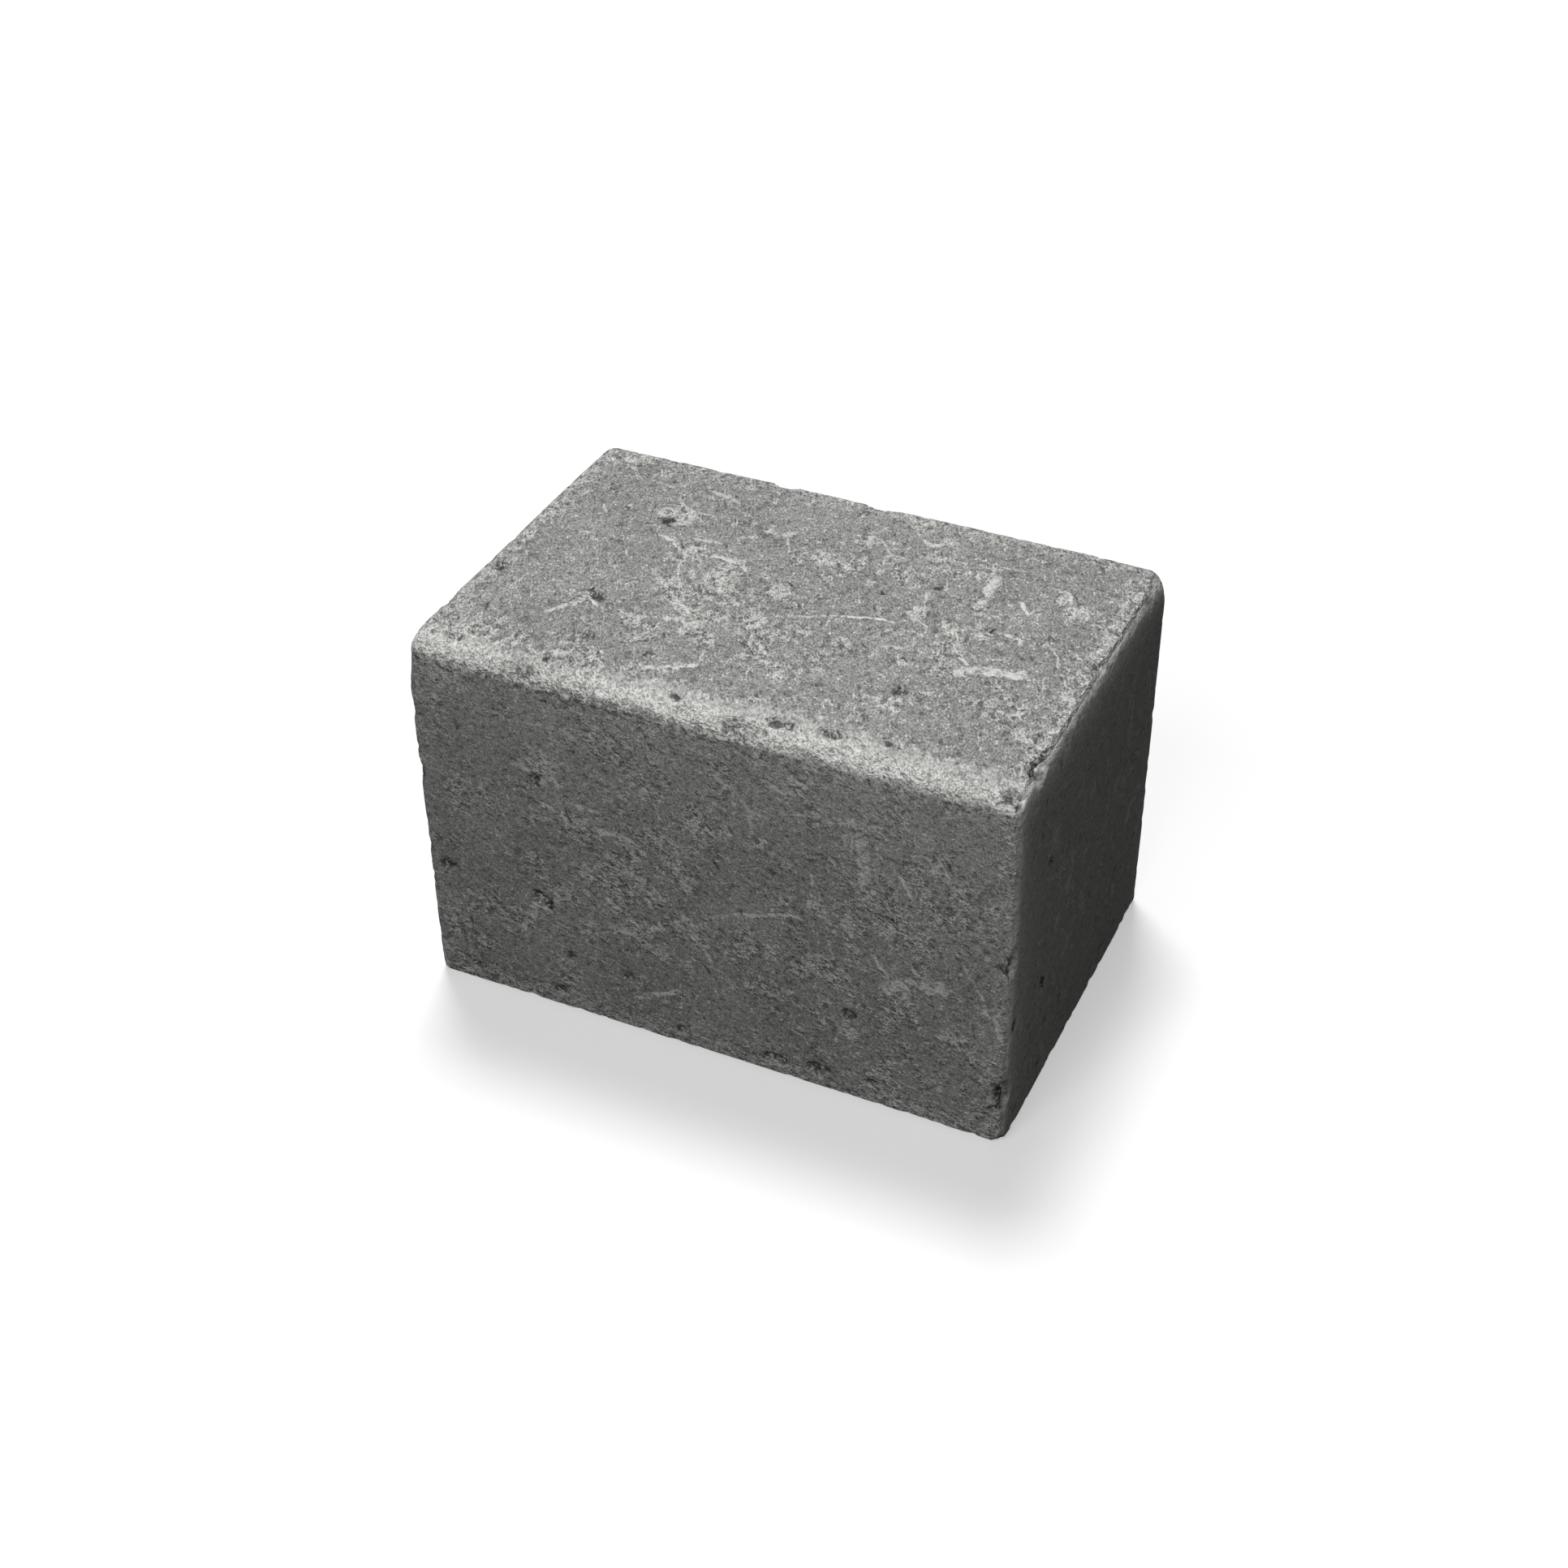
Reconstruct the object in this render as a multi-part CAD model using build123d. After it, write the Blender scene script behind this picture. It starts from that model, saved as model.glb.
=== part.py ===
"""Sharpening whetstone: one solid block of natural abrasive stone, cut square and worn by use.

Units are millimetres. The origin is the middle of the face that the block rests on, +X runs along the
block's length, -Y is the front face and +Z points up, out of the honing face.
"""
from build123d import *
import os
from math import sqrt

# The block
LENGTH = 90.0
WIDTH = 60.0
HEIGHT = 60.0

# Rounded edges
LONG_EDGE_RADIUS = 3.2      # the four edges that run along the length
END_EDGE_RADIUS = 2.8       # the edges round the two end faces

# The front edge of the honing face, where blades are drawn off the stone, is worn away in a long slope
WORN_RUN = 6.5              # how far back the slope starts on the honing face
WORN_DROP = 0.9             # how far down the slope has come at the front face

# Pits in the faces: across and up from the face's middle as a share of the face, width, depth
PITS = {
    "top": [
        (-0.46, -0.12, 3.6, 0.5),
        (-0.28, -0.16, 3.2, 0.5),
        (-0.28, 0.22, 2.2, 0.4),
        (-0.13, -0.31, 1.8, 0.4),
        (0.24, -0.23, 2.0, 0.4),
        (0.31, 0.08, 1.8, 0.4),
    ],
    "front": [
        (-0.46, -0.12, 3.6, 0.5),
        (-0.28, -0.16, 3.2, 0.6),
        (-0.28, 0.22, 2.2, 0.4),
        (-0.26, -0.42, 2.8, 0.4),
        (-0.13, -0.31, 1.8, 0.4),
        (0.11, -0.43, 3.6, 0.5),
        (0.20, -0.43, 4.0, 0.5),
        (0.24, -0.23, 2.0, 0.4),
        (0.31, 0.08, 1.8, 0.5),
    ],
    "right": [
        (-0.28, -0.16, 2.6, 0.4),
        (-0.28, 0.22, 2.0, 0.4),
        (0.11, -0.43, 2.8, 0.4),
        (0.24, -0.23, 1.8, 0.4),
        (0.31, 0.08, 1.6, 0.4),
    ],
    "left": [
        (0.28, -0.16, 2.6, 0.4),
        (0.28, 0.22, 2.0, 0.4),
        (-0.11, -0.43, 2.8, 0.4),
        (-0.31, 0.08, 1.6, 0.4),
    ],
    "back": [
        (0.46, -0.12, 3.6, 0.5),
        (0.28, -0.16, 3.2, 0.5),
        (0.28, 0.22, 2.2, 0.4),
        (-0.11, -0.43, 3.6, 0.4),
        (-0.24, -0.23, 2.0, 0.4),
        (-0.31, 0.08, 1.8, 0.4),
    ],
}

# Chips out of the edges: the two faces that meet there, how far along the edge from its middle as a
# share of the edge, length of the chip, depth into the rounded edge
CHIPS = [
    ("top", "front", 0.06, 10.0, 0.9),
    ("top", "front", -0.29, 6.0, 0.5),
    ("top", "back", -0.20, 5.0, 0.5),
    ("top", "back", -0.02, 4.0, 0.4),
    ("top", "left", -0.31, 5.0, 0.5),
    ("top", "right", -0.35, 4.0, 0.8),
    ("front", "right", -0.38, 4.4, 1.0),
    ("front", "right", 0.05, 3.6, 0.5),
    ("front", "left", 0.12, 4.0, 0.5),
    ("back", "left", -0.20, 5.0, 0.6),
    ("back", "right", 0.15, 4.4, 0.6),
]

# The knock at the front right corner of the honing face
CORNER_CHIP_WIDTH = 5.0
CORNER_CHIP_DEPTH = 0.8

# Outward direction of each named face, as signs along X, Y and Z
OUTWARD = {
    "top": (0, 0, 1),
    "front": (0, -1, 0),
    "back": (0, 1, 0),
    "left": (-1, 0, 0),
    "right": (1, 0, 0),
}


def ball_radius(width, depth):
    """Radius of the ball that leaves a round hollow of this width and depth in a flat face."""
    return (width ** 2 / 4 + depth ** 2) / (2 * depth)


def on_faces(*names):
    """Point where the planes of the named faces meet, in the middle along every other direction."""
    sign_x, sign_y, sign_z = (sum(OUTWARD[name][axis] for name in names) for axis in range(3))
    return Vector(sign_x * LENGTH / 2, sign_y * WIDTH / 2, (1 + sign_z) * HEIGHT / 2)


def side_on(name):
    """Plane on a face: across to the right as seen from outside, up, and outwards."""
    across = {"left": (0, -1, 0), "right": (0, 1, 0), "back": (-1, 0, 0)}.get(name, (1, 0, 0))
    return Plane(origin=on_faces(name), x_dir=across, z_dir=OUTWARD[name])


def face_size(name):
    """Size of a face across and up, as seen from outside."""
    across = WIDTH if name in ("left", "right") else LENGTH
    up = WIDTH if name == "top" else HEIGHT
    return across, up


def plain_block():
    """The block with rounded edges and the worn slope along the front of its honing face.

    Its profile across the length is drawn once and carried from end to end.
    """
    front, back = -WIDTH / 2, WIDTH / 2
    slope_start = (front + WORN_RUN, HEIGHT)
    slope_end = (front, HEIGHT - WORN_DROP)
    outline = Curve() + [
        Polyline(slope_end, (front, 0), (back, 0), (back, HEIGHT), slope_start),
        TangentArc(slope_start, slope_end, tangent=(-1, 0)),
    ]
    profile = make_face(outline)
    corners = profile.vertices().sort_by_distance(slope_start)[1:]    # the slope's start is smooth already
    profile = fillet(corners, LONG_EDGE_RADIUS)
    across_length = Plane(origin=(-LENGTH / 2, 0, 0), x_dir=(0, 1, 0), z_dir=(1, 0, 0))
    bar = extrude(across_length * profile, LENGTH)
    ends = bar.faces().filter_by(Axis.X)
    return fillet(ends.edges(), END_EDGE_RADIUS)


def pit(name, across, up, width, depth):
    """Ball that cuts one pit into a named face."""
    face_across, face_up = face_size(name)
    radius = ball_radius(width, depth)
    return side_on(name) * Pos(across * face_across, up * face_up, radius - depth) * Sphere(radius)


def chip_ball(corner, outward, rounding, width, depth):
    """Ball that cuts a hollow into a rounded edge or corner.

    outward is the way out of the block there, and rounding is how far the rounding has already taken
    the surface back from the sharp corner, measured along that way.
    """
    radius = ball_radius(width, depth)
    centre = corner + outward.normalized() * (radius - depth - rounding)
    return Pos(*centre) * Sphere(radius)


def edge_chip(first, second, along, width, depth):
    """Ball that cuts one chip out of the edge where two named faces meet."""
    outward = Vector(*OUTWARD[first]) + Vector(*OUTWARD[second])
    run = Vector(*(1 - abs(sign) for sign in outward))
    edge_length = run.dot(Vector(LENGTH, WIDTH, HEIGHT))
    is_long = run.X > 0
    radius = LONG_EDGE_RADIUS if is_long else END_EDGE_RADIUS
    rounding = radius * (sqrt(2) - 1)
    corner = on_faces(first, second) + run * (along * edge_length)
    return chip_ball(corner, outward, rounding, width, depth)


def corner_chip():
    """Ball that knocks off the front right corner of the honing face."""
    faces = ("top", "front", "right")
    outward = sum((Vector(*OUTWARD[name]) for name in faces), Vector())
    rounding = LONG_EDGE_RADIUS * (sqrt(3) - 1)
    return chip_ball(on_faces(*faces), outward, rounding, CORNER_CHIP_WIDTH, CORNER_CHIP_DEPTH)


def whetstone_block():
    """The whole stone: the worn block less its pits and chips."""
    hollows = [pit(name, *sizes) for name, pits in PITS.items() for sizes in pits]
    hollows += [edge_chip(*chip) for chip in CHIPS]
    hollows.append(corner_chip())
    return plain_block() - hollows


def main():
    """Write the stone's STEP file."""
    os.makedirs("parts", exist_ok=True)
    stone = whetstone_block()
    export_step(stone, "parts/whetstone_block.step")
    size = stone.bounding_box().size
    print(f"whetstone_block: {size.X:.2f} x {size.Y:.2f} x {size.Z:.2f} mm, {stone.volume:.0f} mm3")


if __name__ == "__main__":
    main()
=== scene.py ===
"""Block whetstone: its pitted and scuffed stone, and the white table and soft light that it is shown in.

Everything is in metres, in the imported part's own frame: the stone stands on z = 0 with its length along X,
its front long side towards -Y and its honing face on top.
"""

import logging
import math
from dataclasses import dataclass, field
from enum import Enum
from functools import partial, reduce
from typing import Any

import bpy
import numpy as np
from mathutils import Euler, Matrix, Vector


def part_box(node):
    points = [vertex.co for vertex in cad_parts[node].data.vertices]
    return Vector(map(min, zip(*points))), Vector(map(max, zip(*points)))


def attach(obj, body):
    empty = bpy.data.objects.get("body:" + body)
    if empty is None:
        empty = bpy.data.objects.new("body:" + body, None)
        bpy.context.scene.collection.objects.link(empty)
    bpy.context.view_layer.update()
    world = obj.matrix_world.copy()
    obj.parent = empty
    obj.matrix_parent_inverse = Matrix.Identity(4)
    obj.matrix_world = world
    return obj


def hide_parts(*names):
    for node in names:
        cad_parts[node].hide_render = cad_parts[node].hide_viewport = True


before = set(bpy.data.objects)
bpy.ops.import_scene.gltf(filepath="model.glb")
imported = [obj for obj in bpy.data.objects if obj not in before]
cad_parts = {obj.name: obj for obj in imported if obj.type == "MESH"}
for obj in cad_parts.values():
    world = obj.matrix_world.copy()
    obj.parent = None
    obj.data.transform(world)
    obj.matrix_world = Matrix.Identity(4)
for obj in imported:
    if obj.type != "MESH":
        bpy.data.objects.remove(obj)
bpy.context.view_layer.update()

STONE_NODE = "whetstone_block"
STONE_BODY = "root"
MM = 0.001
PATTERN_SIZE = (90.0, 60.0)     # mm, the face that the marks below are laid out on, across and down
PATTERN_SHIFT = 0.6             # mm, how far down every face the whole layout is moved
FACE_MAP = "face_place"
BAKE_MAP = "OFBake"
WHITE = (1.0, 1.0, 1.0, 1.0)

log = logging.getLogger("whetstone")

Array = np.ndarray
Range = tuple[float, float]


class Side(Enum):
    """The six sides of the stone: the way out, across to the right and up, as seen from outside."""

    TOP = ((0, 0, 1), (1, 0, 0), (0, 1, 0))
    FRONT = ((0, -1, 0), (1, 0, 0), (0, 0, 1))
    RIGHT = ((1, 0, 0), (0, 1, 0), (0, 0, 1))
    BACK = ((0, 1, 0), (-1, 0, 0), (0, 0, 1))
    LEFT = ((-1, 0, 0), (0, -1, 0), (0, 0, 1))
    BASE = ((0, 0, -1), (1, 0, 0), (0, -1, 0))

    @property
    def out(self) -> Array:
        """Way out of the stone."""
        return np.array(self.value[0])

    @property
    def across(self) -> Array:
        """Way across, to the right."""
        return np.array(self.value[1])

    @property
    def up(self) -> Array:
        """Way up."""
        return np.array(self.value[2])


class Turn(Enum):
    """How the marks are laid on a side: the factors on its way across and its way up."""

    PLAIN = (1, 1)
    FLIPPED = (-1, 1)
    UPSIDE_DOWN = (1, -1)
    HALF_TURN = (-1, -1)


TURNS = {
    Side.TOP: Turn.PLAIN,
    Side.FRONT: Turn.PLAIN,
    Side.RIGHT: Turn.PLAIN,
    Side.BACK: Turn.HALF_TURN,
    Side.LEFT: Turn.FLIPPED,
    Side.BASE: Turn.UPSIDE_DOWN,
}


# ---------------------------------------------------------------------------------------------- marks

@dataclass(frozen=True)
class Scuff:
    """A rub, scratch or slit: points in mm across and down the face, its width and how strong it is."""

    path: tuple[tuple[float, float], ...]
    width: float
    strength: float = 1.0


@dataclass(frozen=True)
class Patch:
    """A patch of bruised, paler grain: centre in mm across and down the face, and its radius."""

    across: float
    down: float
    radius: float
    strength: float = 1.0


@dataclass(frozen=True)
class Pit:
    """A hollow in a face: centre, width and height in mm on the face, depth, and its tilt in degrees."""

    across: float
    down: float
    width: float
    height: float
    depth: float
    tilt: float = 0.0


@dataclass(frozen=True)
class Chip:
    """A chip out of the edge or corner where some sides meet.

    along is its place, as a share of the edge from the edge's middle. Its width and depth are in mm.
    """

    sides: tuple[Side, ...]
    along: float
    width: float
    depth: float


SCUFFS = (
    Scuff(((67.2, 9.3), (67.8, 12.0), (68.4, 13.0)), 0.5, 0.6),
    Scuff(((68.4, 12.6), (68.8, 15.0), (68.7, 19.7)), 1.4, 0.7),
    Scuff(((66.0, 12.4), (66.2, 14.0)), 0.6, 0.6),
    Scuff(((57.0, 11.8), (65.0, 10.5), (67.0, 10.2)), 0.35, 0.5),
    Scuff(((68.8, 9.8), (71.4, 9.6)), 0.35, 0.5),
    Scuff(((49.8, 9.5), (52.2, 12.4), (52.8, 16.2)), 0.4, 0.5),
    Scuff(((52.5, 12.9), (54.6, 13.3)), 0.45, 0.4),
    Scuff(((47.5, 9.0), (49.0, 10.0)), 0.6, 0.6),
    Scuff(((46.2, 11.2), (50.2, 11.0)), 0.5, 0.4),
    Scuff(((49.2, 6.5), (48.8, 8.0)), 0.4, 0.6),
    Scuff(((55.6, 7.6), (57.0, 8.3), (58.2, 7.6)), 0.5, 0.7),
    Scuff(((58.0, 6.0), (59.6, 7.5)), 0.6, 0.6),
    Scuff(((37.6, 15.2), (39.0, 18.2)), 0.3, 0.5),
    Scuff(((36.2, 14.6), (37.6, 13.2)), 0.7, 0.6),
    Scuff(((18.8, 11.8), (20.2, 13.0), (22.5, 13.7), (25.0, 13.7)), 0.6, 0.5),
    Scuff(((18.0, 14.8), (20.6, 14.9), (22.5, 15.8)), 0.7, 0.6),
    Scuff(((16.8, 15.9), (18.8, 16.6)), 0.7, 0.6),
    Scuff(((20.6, 18.0), (22.4, 16.4), (23.4, 18.0)), 0.8, 0.5),
    Scuff(((12.4, 8.0), (16.0, 8.5)), 0.35, 0.4),
    Scuff(((24.0, 7.6), (26.4, 8.9)), 0.7, 0.5),
    Scuff(((21.2, 7.8), (23.0, 7.9)), 0.7, 0.5),
    Scuff(((9.0, 17.2), (10.0, 18.8)), 0.4, 0.5),
    Scuff(((76.8, 12.3), (78.0, 12.7), (78.9, 15.6)), 0.45, 0.6),
    Scuff(((79.0, 12.5), (80.4, 14.6)), 0.5, 0.9),
    Scuff(((73.8, 17.0), (74.4, 18.0), (75.7, 19.7)), 0.5, 0.9),
    Scuff(((76.9, 18.0), (77.0, 19.9)), 0.35, 0.7),
    Scuff(((61.4, 20.4), (61.7, 22.4)), 0.5, 0.6),
    Scuff(((61.8, 24.2), (61.3, 26.4)), 1.3, 0.8),
    Scuff(((63.3, 27.5), (64.2, 28.0), (64.6, 29.5)), 0.3, 0.6),
    Scuff(((75.2, 25.4), (77.2, 26.2), (77.4, 27.0)), 0.6, 0.8),
    Scuff(((81.5, 26.0), (83.0, 28.0), (83.7, 30.0), (85.5, 32.5), (87.2, 34.9)), 0.30, 0.55),
    Scuff(((86.2, 35.6), (88.0, 36.2), (88.9, 40.0)), 0.7, 0.7),
    Scuff(((72.2, 36.9), (73.6, 35.5), (76.6, 34.4), (80.4, 33.7)), 1.8, 0.8),
    Scuff(((70.8, 31.5), (71.3, 33.0), (72.9, 34.5)), 0.5, 0.8),
    Scuff(((63.5, 30.8), (64.6, 34.0)), 0.3, 0.5),
    Scuff(((61.0, 34.8), (63.0, 34.0)), 0.7, 0.6),
    Scuff(((46.8, 33.1), (50.5, 31.3)), 0.5, 0.6),
    Scuff(((50.5, 31.3), (54.0, 30.1), (58.0, 28.8), (59.6, 28.9)), 0.5, 0.9),
    Scuff(((51.6, 31.0), (52.0, 34.0)), 0.3, 0.5),
    Scuff(((30.0, 23.6), (32.0, 23.3), (34.2, 24.1), (36.2, 25.2)), 0.8, 0.8),
    Scuff(((25.6, 20.4), (29.2, 20.3)), 0.5, 0.6),
    Scuff(((20.6, 21.5), (22.4, 22.1)), 0.6, 0.8),
    Scuff(((23.2, 22.0), (24.7, 24.2)), 0.5, 0.7),
    Scuff(((30.0, 35.4), (33.0, 37.6), (35.2, 39.7)), 0.45, 0.9),
    Scuff(((30.2, 36.9), (32.0, 38.4), (33.6, 40.6)), 0.35, 0.5),
    Scuff(((31.0, 40.6), (34.4, 40.6), (36.5, 39.4), (38.6, 37.2)), 0.9, 0.7),
    Scuff(((17.2, 30.8), (18.0, 31.6), (19.4, 31.0)), 0.4, 0.4),
    Scuff(((18.6, 38.6), (19.8, 39.7), (20.0, 40.3)), 0.5, 0.9),
    Scuff(((18.0, 40.5), (20.6, 41.4)), 0.5, 1.0),
    Scuff(((15.7, 45.6), (17.3, 43.0), (18.1, 42.1)), 0.8, 0.7),
    Scuff(((33.7, 52.5), (34.8, 52.0)), 0.7, 0.7),
    Scuff(((35.8, 51.6), (38.5, 50.1), (40.5, 48.8)), 0.8, 0.8),
    Scuff(((45.5, 40.3), (45.9, 42.2)), 0.5, 0.8),
    Scuff(((80.2, 42.5), (82.0, 43.0), (83.6, 41.6)), 0.6, 0.8),
    Scuff(((66.3, 45.6), (66.8, 48.0)), 0.6, 0.8),
)

# Slits are dark gashes, drawn in painted shade.
SLITS = (
    Scuff(((19.7, 17.2), (20.3, 17.3)), 0.7),
    Scuff(((18.8, 17.6), (20.4, 19.0)), 0.5, 0.9),
    Scuff(((18.5, 37.9), (20.9, 39.8)), 0.45),
    Scuff(((18.0, 38.8), (18.7, 38.9)), 0.6),
    Scuff(((18.7, 39.8), (19.6, 40.1), (20.8, 40.9)), 0.5),
    Scuff(((16.0, 14.4), (16.6, 16.4)), 0.3, 0.6),
    Scuff(((24.8, 9.4), (25.5, 10.9)), 0.35, 0.6),
    Scuff(((45.8, 12.3), (48.6, 12.4)), 0.4, 0.6),
    Scuff(((37.4, 4.8), (38.0, 7.0)), 0.4, 0.7),
    Scuff(((46.2, 17.3), (47.0, 18.3)), 0.35, 0.8),
    Scuff(((78.2, 12.0), (77.8, 14.5)), 0.4, 0.6),
    Scuff(((80.0, 12.5), (80.6, 13.4)), 0.5, 0.8),
    Scuff(((24.0, 22.0), (24.8, 23.3)), 0.35, 0.9),
    Scuff(((42.4, 25.8), (43.4, 26.6)), 0.5, 0.9),
    Scuff(((50.9, 30.4), (51.1, 31.0)), 0.45, 0.9),
    Scuff(((46.8, 23.2), (47.5, 24.1)), 0.35, 0.8),
    Scuff(((55.2, 22.0), (55.7, 22.9)), 0.7, 0.7),
    Scuff(((30.2, 20.4), (31.4, 21.8)), 0.35, 0.7),
    Scuff(((31.8, 31.0), (33.6, 32.7)), 0.4, 0.8),
    Scuff(((37.4, 33.8), (38.6, 34.2)), 0.4, 0.8),
    Scuff(((57.8, 35.8), (58.7, 36.4)), 0.45, 0.9),
    Scuff(((55.0, 36.6), (56.4, 37.3)), 0.4, 0.8),
    Scuff(((64.2, 36.2), (65.1, 36.9)), 0.35, 0.8),
    Scuff(((71.9, 25.4), (73.0, 24.9)), 0.8),
    Scuff(((62.8, 22.9), (63.0, 23.6)), 0.5, 0.8),
    Scuff(((43.0, 41.7), (44.2, 42.0), (45.6, 43.6)), 0.35, 0.8),
    Scuff(((22.3, 47.9), (23.6, 47.4), (24.3, 49.2)), 0.4, 0.7),
    Scuff(((6.7, 47.3), (7.4, 49.0)), 0.4, 0.7),
    Scuff(((69.5, 54.7), (71.6, 55.1)), 0.5, 0.8),
    Scuff(((66.2, 43.1), (67.4, 43.8)), 0.8),
    Scuff(((88.0, 27.4), (89.2, 28.2)), 0.8, 0.8),
    Scuff(((88.4, 48.7), (89.9, 48.2)), 0.8),
    Scuff(((88.1, 51.2), (89.2, 49.9), (89.9, 49.3)), 0.5),
    Scuff(((87.4, 53.0), (88.9, 52.4)), 0.7),
    Scuff(((89.0, 46.5), (89.9, 46.2)), 0.5),
)

PATCHES = (
    Patch(21.0, 14.9, 2.2, 0.95),
    Patch(33.0, 28.6, 2.6, 0.85),
    Patch(35.4, 30.8, 1.4),
    Patch(33.8, 24.6, 1.8, 0.7),
    Patch(34.2, 26.6, 1.6, 0.8),
    Patch(42.6, 28.6, 2.2, 0.8),
    Patch(33.4, 33.2, 1.4, 0.8),
    Patch(37.2, 33.4, 1.8, 0.7),
    Patch(42.6, 36.6, 2.3, 0.8),
    Patch(44.4, 38.6, 1.4, 0.8),
    Patch(26.4, 23.4, 1.6, 0.9),
    Patch(28.4, 24.0, 1.3, 0.7),
    Patch(26.5, 25.6, 1.6, 0.7),
    Patch(26.5, 32.2, 1.8, 0.9),
    Patch(44.0, 17.8, 1.9, 0.9),
    Patch(45.8, 18.3, 1.0),
    Patch(48.4, 17.8, 1.5, 0.7),
    Patch(53.5, 17.9, 0.9),
    Patch(33.3, 16.6, 0.9, 0.9),
    Patch(34.5, 14.4, 1.0, 0.8),
    Patch(48.2, 10.4, 1.8, 0.6),
    Patch(59.2, 6.2, 1.6, 0.7),
    Patch(54.0, 3.6, 2.2, 0.7),
    Patch(47.0, 22.3, 1.1, 0.9),
    Patch(57.0, 27.0, 1.2, 0.8),
    Patch(55.0, 36.4, 1.6, 0.9),
    Patch(62.0, 26.0, 1.7, 0.8),
    Patch(67.2, 27.4, 2.5, 0.75),
    Patch(71.0, 25.6, 1.3, 0.9),
    Patch(72.4, 26.8, 1.4),
    Patch(82.2, 16.6, 1.9, 0.9),
    Patch(86.6, 18.2, 1.5, 0.7),
    Patch(69.4, 21.2, 1.5, 0.7),
    Patch(64.4, 37.4, 1.3, 0.9),
    Patch(67.0, 46.8, 1.9, 0.8),
    Patch(62.7, 46.0, 1.5, 0.6),
    Patch(82.0, 42.4, 1.7, 0.8),
    Patch(27.0, 42.6, 1.9, 0.6),
    Patch(38.5, 43.0, 1.7, 0.6),
    Patch(22.4, 53.6, 1.6, 0.7),
    Patch(7.8, 42.2, 1.0, 0.7),
    Patch(7.7, 3.6, 3.0, 0.6),
)

PITS = (
    Pit(19.4, 39.4, 3.4, 2.2, 0.50, -40),
    Pit(19.7, 17.8, 2.4, 1.5, 0.45, 35),
    Pit(3.7, 38.0, 3.0, 2.8, 0.45),
    Pit(66.8, 43.8, 2.4, 1.9, 0.50, 30),
    Pit(72.4, 25.1, 1.9, 1.3, 0.45, -20),
    Pit(32.8, 49.1, 1.9, 1.4, 0.40),
    Pit(32.9, 44.2, 1.3, 1.1, 0.35),
    Pit(55.6, 56.0, 4.2, 1.8, 0.65),
    Pit(62.5, 55.6, 4.6, 1.9, 0.70),
    Pit(70.5, 54.9, 2.6, 0.9, 0.35, 8),
    Pit(40.8, 56.1, 2.4, 1.4, 0.40, -10),
    Pit(21.2, 55.6, 2.8, 1.8, 0.35),
    Pit(7.0, 56.0, 3.2, 1.8, 0.35),
    Pit(23.3, 48.4, 2.2, 2.2, 0.25),
    Pit(88.5, 27.6, 2.6, 2.4, 0.40),
    Pit(23.8, 28.4, 1.3, 1.2, 0.35),
    Pit(55.5, 22.4, 1.2, 1.2, 0.35),
    Pit(56.1, 46.7, 1.0, 1.2, 0.35),
    Pit(8.0, 12.4, 2.0, 1.0, 0.30, 35),
    Pit(22.0, 3.8, 1.3, 1.0, 0.35),
    Pit(26.0, 44.1, 1.3, 0.9, 0.35),
)

CHIPS = (
    Chip((Side.TOP, Side.FRONT), 0.06, 9.0, 0.5),
    Chip((Side.TOP, Side.FRONT), -0.29, 6.0, 0.35),
    Chip((Side.TOP, Side.BACK), -0.155, 4.2, 1.5),
    Chip((Side.TOP, Side.BACK), 0.012, 4.8, 1.2),
    Chip((Side.TOP, Side.LEFT), -0.31, 5.0, 0.5),
    Chip((Side.TOP, Side.RIGHT), -0.375, 5.2, 1.2),
    Chip((Side.FRONT, Side.RIGHT), -0.342, 5.2, 1.2),
    Chip((Side.FRONT, Side.RIGHT), 0.05, 3.6, 0.5),
    Chip((Side.FRONT, Side.LEFT), 0.12, 4.0, 0.5),
    Chip((Side.BACK, Side.LEFT), -0.20, 5.0, 0.6),
    Chip((Side.BACK, Side.RIGHT), 0.15, 4.4, 0.6),
    Chip((Side.TOP, Side.FRONT), 0.478, 3.6, 0.8),
    Chip((Side.BASE, Side.FRONT, Side.RIGHT), 0.0, 4.4, 0.6),
)

# How far back from the front edge the honing face is worn, in mm, at places along the edge from its left.
WORN_PLACES = (4.0, 13.0, 22.0, 31.0, 40.0, 49.0, 58.0, 67.0, 76.0, 85.0)
WORN_RUNS = (8.0, 6.0, 5.2, 7.2, 7.6, 7.6, 8.2, 8.0, 6.8, 7.2)


# ------------------------------------------------------------------------------------------ geometry

def smooth_step(value: Array, low: float, high: float) -> Array:
    """Rise from 0 at low to 1 at high, by 3t^2 - 2t^3.

    Args:
        value: numbers to grade.
        low: where the rise starts.
        high: where it ends.

    Returns:
        The grades, in the shape of value.
    """
    share = np.clip((value - low) / (high - low), 0.0, 1.0)
    return share * share * (3.0 - 2.0 * share)


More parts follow.
